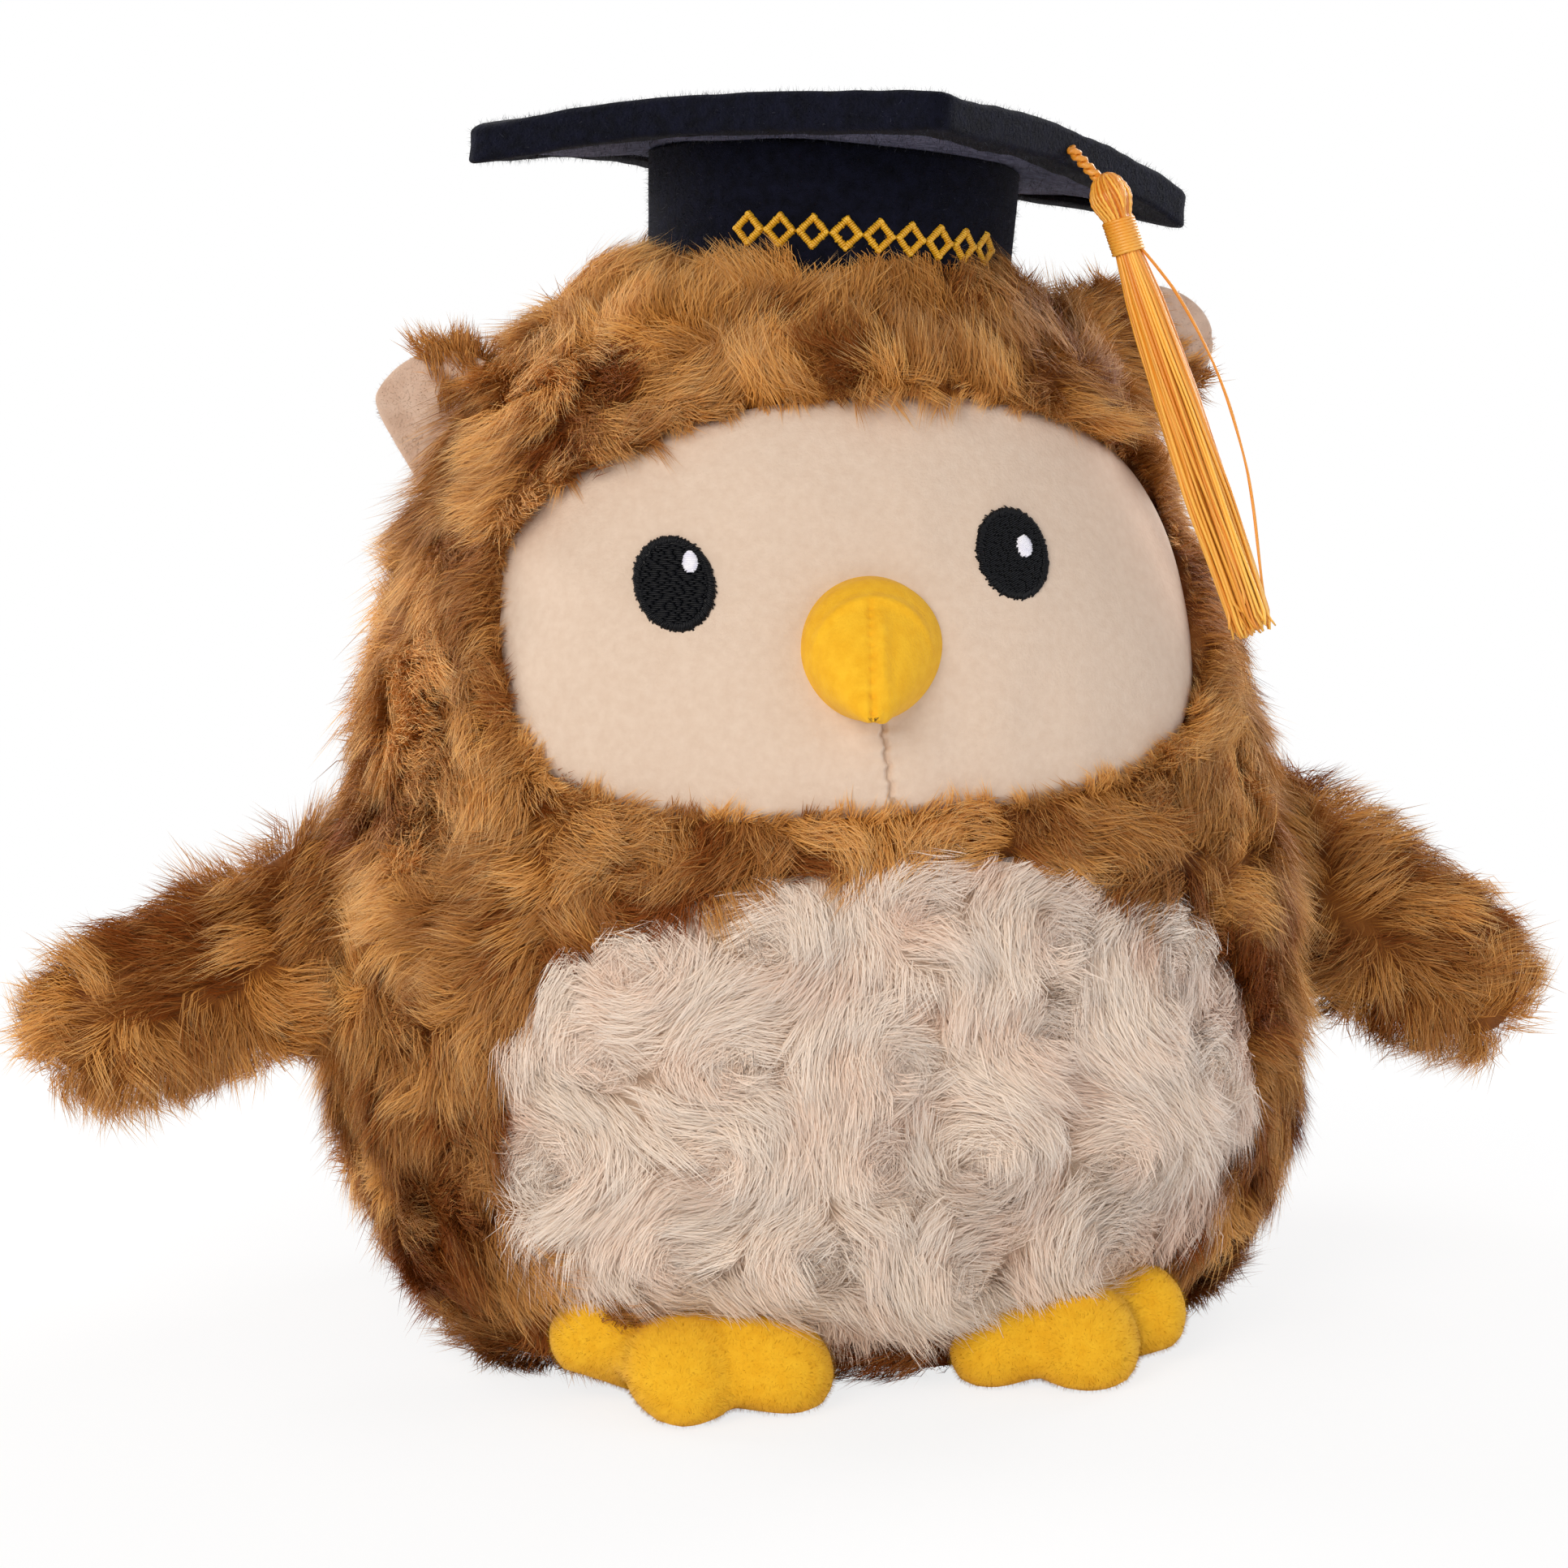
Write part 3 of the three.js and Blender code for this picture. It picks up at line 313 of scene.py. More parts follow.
# knitted ground of the pile, seen only in the partings
brownGround = clothMaterial("brownPileGround", "#6E3A10", "#92581E", 9, 0.7, 0.4, Roughness=0.95)
creamGround = clothMaterial("creamPileGround", "#E2CCB6", "#F0DECC", 9, 0.7, 0.4, Roughness=0.95)
# brushed short-pile polyester: even, soft, with a faint bloom at the edges
napped = dict(Roughness=0.9, Specular_IOR_Level=0.25, Sheen_Roughness=0.5)
faceMinky = clothMaterial("faceMinky", "#D9C2AE", "#DFCAB7", 1.6, 0.6, 0.22, Sheen_Weight=0.12, **napped)
liningMinky = clothMaterial("earLiningMinky", "#CDB09C", "#DBC2B0", 3, 0.9, 0.25, Sheen_Weight=0.12, **napped)
yellowVelour = clothMaterial("yellowVelour", "#F0B21E", "#F8C02A", 2.2, 0.5, 0.3, Sheen_Weight=0.08, **napped)
# needled wool felt: matt, with loose fibres; the underside's copy is painted paler and bluer, painted light
# from the floor below
blackFelt = clothMaterial("blackNeedleFelt", "#04050E", "#0E1020", 2.2, 0.7, 0.5, Roughness=0.95,
                          Specular_IOR_Level=0.1, Sheen_Weight=0.02, Sheen_Roughness=0.6)
feltPaintedFloorLight = clothMaterial("blackNeedleFeltPaintedFloorLight", "#424458", "#6A6D86", 1.6, 0.45, 0.35, Roughness=0.95,
                          Specular_IOR_Level=0.12)
# trilobal polyester embroidery thread: smooth, with a narrow shine across the stitches
blackThread = clothMaterial("blackEmbroideryThread", "#030406", "#0B0C12", 0.5, 0.3, 0.05, Roughness=0.4,
                            Specular_IOR_Level=0.16)
whiteThread = clothMaterial("whiteEmbroideryThread", "#E0E0F2", "#F6F6FC", 1.2, 0.3, 0.05, Roughness=0.4,
                            Specular_IOR_Level=0.6)
goldThread = clothMaterial("goldEmbroideryThread", "#D79A12", "#EDBB2E", 1.0, 0.3, 0.05, Roughness=0.36,
                           Specular_IOR_Level=0.6)
tasselRayon = pileMaterial("rayonTasselThread", [(0.0, "#D87A10"), (1.0, "#E2861A")],
                           [(0.0, "#FFB840"), (1.0, "#FFCC5C")], Roughness=0.36, Specular_IOR_Level=0.6)
# nap fibres: the cloth's own colour at the root, paler where light comes through the tip
yellowNap = pileMaterial("yellowVelourNap", [(0.0, "#E6A816"), (1.0, "#F5BE28")],
                         [(0.0, "#F2BA24"), (1.0, "#FCD048")], Roughness=0.8, Specular_IOR_Level=0.2)
creamNap = pileMaterial("minkyNap", [(0.0, "#E2C8B2"), (1.0, "#EBD3BE")],
                        [(0.0, "#EAD2BE"), (1.0, "#F4E0CE")], Roughness=0.8, Specular_IOR_Level=0.2)
# felt fibres: paler and bluer towards the tip and on some fibres, painted sheen on black fibres
feltFibre = pileMaterial("looseFeltFibre", [(0.0, "#0C0E18"), (1.0, "#2A2E40")],
                         [(0.0, "#343848"), (1.0, "#8A90A6")], Roughness=0.5, Specular_IOR_Level=0.5)
# pieces that stay inside or underneath
fibreFill = clothMaterial("polyesterFibreFill", "#ECEAE6", "#FAF9F6", 5, 0.8, 0.5, Roughness=0.95)
pelletCloth = clothMaterial("pelletBagCotton", "#CFCFCF", "#DCDCDC", 4, 0.6, 0.2, Roughness=0.9)
greyBoard = clothMaterial("greyCardboard", "#AE9A7C", "#C2AE90", 3, 0.4, 0.05, Roughness=0.85)
baseCloth = clothMaterial("brownBaseTwill", "#5E3F2A", "#74513A", 5, 0.6, 0.15, Roughness=0.92)

hidden = dict(base_panel=baseCloth, pellet_bag=pelletCloth, cap_board_insert=greyBoard)
for node in ("body_stuffing", "beak_stuffing", "wing_stuffing_left", "wing_stuffing_right",
             "foot_stuffing_left", "foot_stuffing_right", "cap_crown_stuffing"):
    hidden[node] = fibreFill
for node, material in hidden.items():
    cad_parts[node].data.materials.clear()
    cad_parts[node].data.materials.append(material)
print("materials made")


body = dict(
    height=193, halfWidth=82, front=73, back=71, power=2.3, seamY=4, hoodSeam=104.0,
    # shares of the height, the half width, the front depth and the back depth
    levels=[(0.000, 0.61, 0.63, 0.65), (0.021, 0.76, 0.77, 0.79), (0.062, 0.87, 0.86, 0.89),
            (0.124, 0.95, 0.95, 0.96), (0.233, 1.00, 1.00, 1.00), (0.352, 0.99, 1.00, 1.00),
            (0.466, 0.95, 0.97, 0.97), (0.570, 0.90, 0.94, 0.93), (0.674, 0.83, 0.88, 0.87),
            (0.777, 0.73, 0.77, 0.79), (0.870, 0.61, 0.63, 0.68), (0.938, 0.45, 0.47, 0.51),
            (0.979, 0.27, 0.28, 0.31), (1.000, 0.00, 0.00, 0.00)],
    face=dict(x=2, z=132.5, halfWidth=61, top=37, bottom=31, topPower=2.15, bottomPower=4),
    belly=dict(x=1, z=51, halfWidth=65, top=43, bottom=42, topPower=2.05, bottomPower=2.3),
    ground=1.2,  # the knitted ground stands this far outside the filling's cloth
)
bodyRows = np.array(body["levels"]) * np.array([body[k] for k in ("height", "halfWidth", "front", "back")])
mirroredCrown = bodyRows[-2] * np.array([1, -1, -1, -1])
bodyProfile = smoothRows(np.vstack([2 * bodyRows[0] - bodyRows[1], bodyRows, mirroredCrown]), 14)


def bodySizes(z):
    # half width, front depth and back depth at each height, read off the smooth profile
    return [np.interp(z, bodyProfile[:, 0], bodyProfile[:, k]) for k in (1, 2, 3)]


def bodyPoint(angle, z):
    # a level section is |x / a| ^ p + |y / b| ^ p = 1, met by a ray at this angle; b differs front and back
    a, front, back = bodySizes(z)
    b = np.where(np.sin(angle) < 0, front, back)
    p = body["power"]
    across, ahead = np.cos(angle) / np.maximum(a, 1e-6), np.sin(angle) / np.maximum(b, 1e-6)
    reach = (np.abs(across) ** p + np.abs(ahead) ** p) ** (-1 / p)
    return np.stack([reach * np.cos(angle), reach * np.sin(angle), z + 0 * angle], -1)


def bodyNormal(points):
    # the way out: the slope of |x / a| ^ p + |y / b| ^ p, with a and b changing with the height
    x, y, z = points[..., 0], points[..., 1], np.clip(points[..., 2], 0.6, body["height"] - 0.6)
    p = body["power"]
    sizes, above, below = bodySizes(z), bodySizes(z + 0.5), bodySizes(z - 0.5)
    a, b = sizes[0], np.where(y < 0, sizes[1], sizes[2])
    slopeA, slopeB = above[0] - below[0], np.where(y < 0, above[1] - below[1], above[2] - below[2])
    acrossX, acrossY = (np.abs(x) / a) ** p, (np.abs(y) / b) ** p
    gx = acrossX / np.maximum(np.abs(x), 1e-6) * np.sign(x)
    gy = acrossY / np.maximum(np.abs(y), 1e-6) * np.sign(y)
    gz = -acrossX * slopeA / a - acrossY * slopeB / b
    return unit(np.stack([gx, gy, gz], -1))


def bodyFront(x, z, lift=0):
    # the point of the front surface at this x and z, moved out by lift
    a, front, _ = bodySizes(z)
    y = -front * np.maximum(1 - np.abs(x / a) ** body["power"], 0) ** (1 / body["power"])
    points = np.stack([x + 0 * y, y, z + 0 * y], -1)
    return points + bodyNormal(points) * np.asarray(lift)[..., None]


def windowShape(window, upper):
    # the height and the power of the outline's upper or lower half
    w = body[window]
    return np.where(upper, w["top"], w["bottom"]), np.where(upper, w["topPower"], w["bottomPower"])


def windowField(window, x, z):
    # 1 on the outline of the face or the belly, less inside and more outside
    w = body[window]
    height, power = windowShape(window, z > w["z"])
    across, up = (x - w["x"]) / w["halfWidth"], (z - w["z"]) / height
    return (np.abs(across) ** power + np.abs(up) ** power) ** (1 / power)


def windowGrid(window, rings, sides, lift, closer=0.0):
    # rings of points from the middle of a window to its outline, laid on the front of the body;
    # closer draws them together at the bottom
    w = body[window]
    turn = np.arange(sides) * 2 * np.pi / sides
    turn = turn - closer * np.cos(turn)
    share = (np.arange(1, rings + 1) / rings)[:, None]
    height, power = windowShape(window, np.sin(turn) > 0)
    reach = share / (np.abs(np.cos(turn)) ** power + np.abs(np.sin(turn)) ** power) ** (1 / power)
    x = w["x"] + w["halfWidth"] * reach * np.cos(turn)
    z = w["z"] + height * reach * np.sin(turn)
    x, z = np.concatenate([[w["x"]], x.ravel()]), np.concatenate([[w["z"]], z.ravel()])
    share = np.concatenate([[0], np.repeat(share.ravel(), sides)])
    points = bodyFront(x, z, lift(x, z, share))
    ringFaces = gridFaces(rings, sides, closed=True) + 1
    fan = np.stack([np.zeros(sides, int), 1 + np.arange(sides), 1 + (np.arange(sides) + 1) % sides], -1)
    outward = bodyNormal(points)
    return points, [facing(points, fan, outward), facing(points, ringFaces, outward)]


def sprinkle(points, faces, countFor, rng, keep=None):
    # random places over a surface, as many as countFor makes of its area, each with the surface's normal
    halves = [part[:, [0, 2, 3]] for part in faces if part.shape[1] == 4]
    triangles = np.concatenate([part[:, [0, 1, 2]] for part in faces] + halves)
    a, b, c = [points[triangles[:, k]] for k in range(3)]
    cross = np.cross(b - a, c - a)
    area = np.linalg.norm(cross, axis=1) / 2
    count = int(countFor(area.sum()))
    pick = rng.choice(len(area), count, p=area / area.sum())
    u, v = rng.random((2, count, 1))
    flip = u + v > 1
    u, v = np.where(flip, 1 - u, u), np.where(flip, 1 - v, v)
    places = a[pick] + u * (b - a)[pick] + v * (c - a)[pick]
    normals = unit(cross)[pick]
    if keep is not None:
        inside = keep(places)
        places, normals = places[inside], normals[inside]
    return places, normals


def onePerCube(places, spacing):
    # the numbers of places that are the first in their cube of this size
    return np.unique(np.floor(places / spacing).astype(int), axis=0, return_index=True)[1]


def scatter(points, faces, spacing, rng, keep=None):
    # random places over a surface, at most one in each cube of this size
    places, normals = sprinkle(points, faces, lambda area: area / spacing ** 2 * 5, rng, keep)
    first = onePerCube(places, spacing)
    return places[first], normals[first]


def blocks(places, size=4000):
    # a few thousand places at a time, which spares memory
    return [slice(start, start + size) for start in range(0, len(places), size)]


def swirl(points, normals, whorls, turns, inward, reach):
    # every whorl pushes round itself and a little inward, and fades with distance as a bell curve
    flow = np.zeros_like(points)
    for some in blocks(points):
        apart = points[some, None, :] - whorls[None]
        distance = np.linalg.norm(apart, axis=-1, keepdims=True)
        weight = bell(distance, reach) * np.minimum(distance / (0.25 * reach), 1)
        away = apart / np.maximum(distance, 1e-6)
        around = np.cross(normals[some, None, :], away) * turns[None, :, None]
        flow[some] = (weight * (around - inward * away)).sum(1)
    return flow


def crestAt(points, whorls, reach):
    # 1 on a ring round each whorl, where its locks rise over one another; 0 in its middle and between whorls
    near = np.zeros(len(points))
    for some in blocks(points):
        distance = np.linalg.norm(points[some, None, :] - whorls[None], axis=-1)
        near[some] = bell(distance, reach).max(1)
    return 4 * near * (1 - near)


def nearest(places, seeds):
    # the number of the seed that lies nearest to each place
    found = np.empty(len(places), int)
    for some in blocks(places):
        found[some] = np.linalg.norm(places[some, None, :] - seeds[None], axis=-1).argmin(1)
    return found


def lockPaths(roots, normalAt, flowAt, fur, rng, liftAt=None, growAt=None, steps=6):
    # each lock starts steeply and lies down along the flow; its slope at each step is in degrees.
    # Neighbours lie together as a tuft, whose front rides over the next one and stands higher; its tone is
    # painted paler at the front, a painted highlight, and darker behind it and where a tuft stands up,
    # painted shade
    count = len(roots)
    seeds = roots[onePerCube(roots / fur["tuft"] + rng.random(3), 1)]
    tuft = nearest(roots + rng.normal(0, 1.0, roots.shape), seeds)
    kind = rng.normal(size=(len(seeds), 3))[tuft]
    normal = normalAt(roots)
    ahead = ((roots - seeds[tuft]) * unit(flowAt(roots, normal))).sum(-1) / fur["tuft"]
    length = fur["length"] * (1 + fur["vary"] * kind[:, 2] + 0.25 * ahead) * rng.uniform(0.9, 1.1, count)
    length = (length * growAt(roots) if growAt else length)[:, None]
    turn = np.radians(rng.normal(0, fur["wander"], count) + fur["tuftTurn"] * kind[:, 0])[:, None]
    knots = np.linspace(0, 1, len(fur["slopes"]))
    slopes = np.radians(np.interp(np.linspace(0, 1, steps), knots, fur["slopes"]))
    ruffle = rng.normal(0, fur["ruffle"], count) + fur["tuftLift"] * (0.6 * kind[:, 1] + 1.5 * ahead)
    ruffle = np.radians(ruffle + (liftAt(roots) if liftAt else 0))[:, None]
    path = [roots]
    for slope in slopes:
        here = path[-1]
        normal = normalAt(here)
        flow = flowAt(here, normal)
        flow = unit(flow - (flow * normal).sum(-1, keepdims=True) * normal)
        flow = flow * np.cos(turn) + np.cross(normal, flow) * np.sin(turn)
        angle = np.clip(slope + ruffle, -0.35, 1.35)
        path.append(here + (flow * np.cos(angle) + normal * np.sin(angle)) * length / steps)
    # the tuft's tone differs at random, with painted light on top: paler at its front, darker where it stands
    # up
    return np.stack(path, 1), fur["tuftTone"] * (0.7 * kind[:, 2] - 0.4 * kind[:, 1] + 1.1 * ahead)


def shadeCell(shade):
    # U at the middle of one of forty columns, so that a strand keeps one shade when it is baked
    return (np.floor(shade * 40) + 0.5) / 40


def growStrands(name, body, paths, normals, tone, fur, rng):
    # strands share their lock's path and stay about as far from it as their roots are, so that locks
    # run into each other
    perLock, steps = max(2, round(fur["perLock"] * thin)), paths.shape[1] - 1
    lock = np.repeat(np.arange(len(paths)), perLock)
    count = len(lock)
    along = np.array([0, 0.5, 1])
    at = along * steps
    low = np.minimum(at.astype(int), steps - 1)
    centre = paths[:, low] + (paths[:, low + 1] - paths[:, low]) * (at - low)[None, :, None]
    tangentA = unit(np.cross(normals, [0.31, 0.52, 0.79]))
    tangentB = np.cross(normals, tangentA)
    angle = rng.uniform(0, 2 * np.pi, count)
    radius = fur["spread"] * np.sqrt(rng.random(count))
    turn = angle[:, None] + fur["twist"] * rng.normal(0.5, 0.5, (len(paths), 1))[lock] * along
    aside = (tangentA[lock, None] * np.cos(turn)[..., None] + tangentB[lock, None] * np.sin(turn)[..., None])
    aside = aside * radius[:, None, None] * (1 - fur["gather"] * along ** 1.3)[None, :, None]
    grow = rng.uniform(fur["shortest"], 1.08, count)[:, None, None]
    points = paths[lock, :1] + (centre[lock] - paths[lock, :1]) * grow + aside
    stray = np.where(rng.random(count) < fur["strays"], 2.0, 1.0)[:, None, None]
    points += rng.normal(0, fur["frizz"], (count, 1, 3)) * (along ** 1.6)[None, :, None] * stray
    points[..., 2] = np.maximum(points[..., 2], fur["lowest"] + 0.4 * rng.random((count, 1)))
    ahead = unit(np.gradient(points, axis=1))
    flat = unit(np.cross(ahead, normals[lock, None]))
    over = np.cross(flat, ahead)
    roll = rng.normal(0, 0.5, count)[:, None, None]
    across = flat * np.cos(roll) + over * np.sin(roll)
    width = fur["width"] / math.sqrt(thin) * rng.uniform(0.7, 1.3, count)
    half = across[:, 1] * (0.5 * width)[:, None]
    # a strand is two thin triangles, from its root to its widest place and on to its tip
    vertices = np.stack([points[:, 0], points[:, 1] - half, points[:, 1] + half, points[:, 2]], 1)
    # strands are shaded by the side of their lock that looks out, each a little different
    shading = unit(over + 0.6 * normals[lock, None] + fur["sparkle"] * rng.normal(size=(count, 1, 3)))
    shading = shading[:, [0, 1, 1, 2]]
    # a few strands are painted much paler: painted glints
    glint = (rng.random(count) < fur["glints"]) * 0.45
    shade = np.clip(tone[lock] + rng.normal(0, fur["toneSpread"], count) + glint, 0, 0.999)
    u = shadeCell(shade)[:, None] + np.array([0, -0.006, 0.006, 0])
    v = 0.01 + 0.98 * along[[0, 1, 1, 2]]
    uv = np.stack([u, np.repeat(v[None], count, 0)], -1)
    # a pile with too many strands for one piece becomes two or more, one above the other
    parts = math.ceil(count / mostStrands)
    order = np.argsort(paths[lock, 0, 2], kind="stable")
    for number, chosen in enumerate(np.array_split(order, parts)):
        triangles = np.arange(len(chosen))[:, None, None] * 4 + np.array([[0, 2, 1], [1, 2, 3]])
        makePiece(name + ("_" + str(number + 1) if parts > 1 else ""), vertices[chosen].reshape(-1, 3),
                  [triangles.reshape(-1, 3)], fur["material"], body, uv[chosen].reshape(-1, 2),
                  normals=shading[chosen].reshape(-1, 3))
    print(name, len(paths), "locks", count, "strands")


def growFur(name, body, roots, normals, normalAt, flowAt, fur, tone, rng, seat=None, liftAt=None,
            growAt=None):
    # locks from these roots, in a piece's own frame where it has a seat, and their strands
    paths, shade = lockPaths(roots, normalAt, flowAt, fur, rng, liftAt, growAt)
    if seat:
        paths, normals = placed(paths, seat), normals @ seat["turn"].T
    growStrands(name, body, paths, normals, tone + shade, fur, rng)


thin = 1.0
mostStrands = 96000  # in one piece, two triangles each

brownFur = dict(
    material=brownPile, slot="brown_fur", spacing=2.5, perLock=50, length=10.5, vary=0.10, wander=14,
    ruffle=7, slopes=(64, 42, 24, 12, 4, -6), spread=2.6, gather=0.1, twist=0.8, shortest=0.5, strays=0.06,
    frizz=0.8, width=0.14, toneSpread=0.12, sparkle=0.12, glints=0.06, tuft=13, tuftTurn=26, tuftLift=11,
    tuftTone=0.30, lowest=0.3, whorlSpacing=26, whorlReach=15, inward=0.35, crest=12, trough=4,
)
backFur = dict(brownFur, perLock=24)
creamFur = dict(
    brownFur, material=creamPile, slot="cream_fur", perLock=52, length=11, slopes=(60, 38, 20, 8, -2, -12),
    wander=8, twist=0.6, frizz=0.7, toneSpread=0.08, glints=0.0, inward=0.22, whorlReach=11, crest=16,
    trough=6, drift=0.12, tuft=9, tuftTurn=7, tuftLift=7, tuftTone=0.12, moundHeight=4.2, moundReach=7.0,
)


def bodyGrid(low, high, fromAngle, toAngle, rows=90, columns=150):
    # a patch of the body between two heights and two angles, softly lumpy and clear of the floor
    z = np.linspace(low, high, rows)[:, None]
    share = np.linspace(0, 1, columns)[None]
    angle = fromAngle(z) + (toAngle(z) - fromAngle(z)) * share
    points = bodyPoint(angle, z + 0 * angle).reshape(-1, 3)
    outward = bodyNormal(points)
    lift = body["ground"] + 0.6 * lumps(points, 38, 3) + 0.8 * lumps(points, 20, 4)
    points = points + outward * lift[:, None]
    points[:, 2] = np.maximum(points[:, 2], 0.2)
    return points, facing(points, gridFaces(rows, columns), outward)


def seamAngle(z):
    # where the side seam crosses a level section, measured from the owl's left
    return np.arcsin(np.clip(body["seamY"] / np.maximum(bodySizes(z)[0], 6), 0, 1))


# whorls of the brown fur, one in each cube of their spacing that the body's surface passes through; each
# turns one way or the other
bodyRng = np.random.default_rng(7)
allAngles, allHeights = np.meshgrid(np.linspace(0, 2 * np.pi, 400), np.linspace(4, 190, 180))
everyWhorl = bodyPoint(allAngles.ravel(), allHeights.ravel())
firstWhorl = onePerCube(everyWhorl / brownFur["whorlSpacing"] + 0.37, 1)
bodyWhorls = everyWhorl[bodyRng.permutation(firstWhorl)] + bodyRng.normal(0, 3, (len(firstWhorl), 3))
bodyTurns = bodyRng.choice([-1.0, 1.0], len(bodyWhorls))
capPlace = np.array([8, 4, 186.0])

# roots of the wings and the ears: their middles, the way that the fur leaves them, and their seams
shoulders = dict(
    places=np.array([(88.0, 4, 72), (-88.0, 4, 72), (56.0, 1, 166), (-59.0, 1, 161)]),
    ways=np.array([(0.74, 0, -0.6), (-0.9, 0, -0.4), (0.9, -0.25, 0.1), (-0.9, -0.2, -0.1)]),
    halfHeights=np.array([16.0, 16.0, 9.0, 9.0]), reaches=np.array([11.0, 11.0, 9.0, 9.0]),
    leans=np.array([5.75, -5.75, 34.9, -30.6]),
)


def shoulderShare(points):
    # 1 along the root of each wing and ear, fading away from it as a bell curve
    lean = np.radians(shoulders["leans"])
    up = np.stack([-np.sin(lean), 0 * lean, np.cos(lean)], -1)
    apart = points[:, None, :] - shoulders["places"][None]
    along = np.clip((apart * up).sum(-1), -shoulders["halfHeights"], shoulders["halfHeights"])
    return bell(np.linalg.norm(apart - along[..., None] * up, axis=-1), shoulders["reaches"])


def nearFace(places, middle, reach):
    # 1 on an outline round the face, fading on both sides as a bell curve
    field = windowField("face", places[:, 0], places[:, 2])
    return bell(field - middle, reach) * (places[:, 1] < 0)


# how the brown fur flows: at the wings' and ears' roots, down, out from the face and towards the cap
pulls = dict(shoulder=2.2, down=0.35, brow=150, chin=108, browPull=-0.5, cheekPull=0.6, chinPull=-0.2,
             cap=1.6, capRing=40, capReach=13, capFrom=168, capAim=22.0)


def brownFlow(points, normals):
    # whorls over a slow drift down and out, away from the face and up round the cap
    flow = swirl(points, normals, bodyWhorls, bodyTurns, brownFur["inward"], brownFur["whorlReach"])
    flow += pulls["shoulder"] * (shoulderShare(points)[..., None] * shoulders["ways"]).sum(1)
    x, z = points[:, 0], points[:, 2]
    flow[:, 2] -= pulls["down"]
    w = body["face"]
    out = np.stack([(x - w["x"]) / w["halfWidth"], 0 * x, (z - w["z"]) / w["top"]], -1)
    below = np.where(z > pulls["chin"], pulls["cheekPull"], pulls["chinPull"])
    pull = np.where(z > pulls["brow"], pulls["browPull"], below)
    flow += nearFace(points, 1.06, 0.13)[:, None] * unit(out) * pull[:, None]
    fromCap = np.linalg.norm(points[:, :2] - capPlace[:2], axis=1)
    near = bell(fromCap - pulls["capRing"], pulls["capReach"]) * (z > pulls["capFrom"])
    toCap = unit(capPlace + np.array([0, 0, pulls["capAim"]]) - points)
    return flow + pulls["cap"] * near[:, None] * toCap


def brownLift(places):
    # degrees: higher round the whorls, at the roots of wings and ears and along the face
    crest = crestAt(places, bodyWhorls, brownFur["whorlReach"])
    atRoots, atFace = 22 * shoulderShare(places).max(1), 18 * nearFace(places, 1, 0.07)
    return brownFur["crest"] * crest - brownFur["trough"] + atRoots + atFace


def brownGrowth(places):
    # short round the face, where the cloth is trimmed, and longer at the roots of wings and ears
    trimmed = 0.35 * nearFace(places, 1, 0.10) * (places[:, 2] < pulls["brow"])
    return 1 - trimmed + 0.5 * shoulderShare(places).max(1)


def brownTone(places):
    # dark and golden patches two and five centimetres long, which differ at random; over them painted light:
    # paler where the locks rise, a painted highlight on the chest and on the crown, and painted shade darker
    # towards the bottom
    crest = crestAt(places, bodyWhorls, brownFur["whorlReach"])
    x, y, z = places.T
    # painted light: the chest and the crown paler, the lower body darker
    chestPaintedLight = np.exp(-(x / 45) ** 2 - ((z - 99) / 12) ** 2) * (y < 0)
    crown = ramp(z, 150, 40)
    low = np.clip((85 - z) / 60, 0, 1)
    patches = (0.26 * lumps(places, 18, 11) + 0.18 * lumps(places, 52, 12)) * (1 - 0.5 * crown)
    return 0.36 + 0.24 * crest + patches + 0.28 * chestPaintedLight + 0.22 * crown - 0.32 * low


# bare of fur: round the cap's foot, near the floor, and where a foot covers the body
bare = dict(capRadius=32, capFrom=172, floor=2.5, feet=((31, 19), (-34, 21)), footBack=-40, footTop=11)


def inWindow(places, edge, back):
    # true inside the face's or the belly's outline, in front of back
    x, y, z = places.T
    return (y < back) & ((windowField("face", x, z) < edge) | (windowField("belly", x, z) < edge))


def underFoot(places):
    # true where a foot covers the body, so that no fur grows through it
    x, y, z = places.T
    covered = np.zeros(len(places), bool)
    for middle, half in bare["feet"]:
        covered |= (np.abs(x - middle) < half) & (y < bare["footBack"]) & (z < bare["footTop"])
    return covered


def brownGrows(places):
    z = places[:, 2]
    fromCap = np.linalg.norm((places - capPlace)[:, :2], axis=1)
    underCap = (fromCap < bare["capRadius"]) & (z > bare["capFrom"])
    return ~inWindow(places, 1.0, body["seamY"]) & ~underCap & (z > bare["floor"]) & ~underFoot(places)


def frontMiddle(z):
    return -np.pi / 2 + 0 * z


def backMiddle(z):
    return np.pi / 2 + 0 * z


def rightSeam(z):
    return np.pi - seamAngle(z)


def rightSeamBefore(z):
    # the same seam, reached round the front
    return -np.pi - seamAngle(z)


# each panel lies between two heights and two angles
hem, seam, crown = 0.8, body["hoodSeam"], 192.6
panels = dict(
    hood_panel=(seam, crown, rightSeamBefore, seamAngle),
    flank_panel_left=(hem, seam, frontMiddle, seamAngle),
    flank_panel_right=(hem, seam, rightSeamBefore, frontMiddle),
    back_panel_left=(hem, crown, seamAngle, backMiddle),
    back_panel_right=(hem, crown, backMiddle, rightSeam),
)
windowSink = 2.2  # the brown ground lies this much deeper behind the face and the belly


def makeBodyPanels():
    for number, (node, panel) in enumerate(panels.items()):
        rng = np.random.default_rng(100 + number)
        points, faces = bodyGrid(*panel)
        sink = np.where(inWindow(points, 1.02, 0), windowSink, 0)[:, None]
        sunk = points - bodyNormal(points) * sink
        ground = makePiece(node + "_ground", sunk, [faces], brownGround, "owl")
        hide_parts(node)
        roots, normals = scatter(points, [faces], brownFur["spacing"], rng, brownGrows)
        fur = backFur if node.startswith("back") else brownFur
        growFur(node + "_pile", "owl", roots, normals, bodyNormal, brownFlow, fur, brownTone(roots), rng,
                liftAt=brownLift, growAt=brownGrowth)


makeBodyPanels()


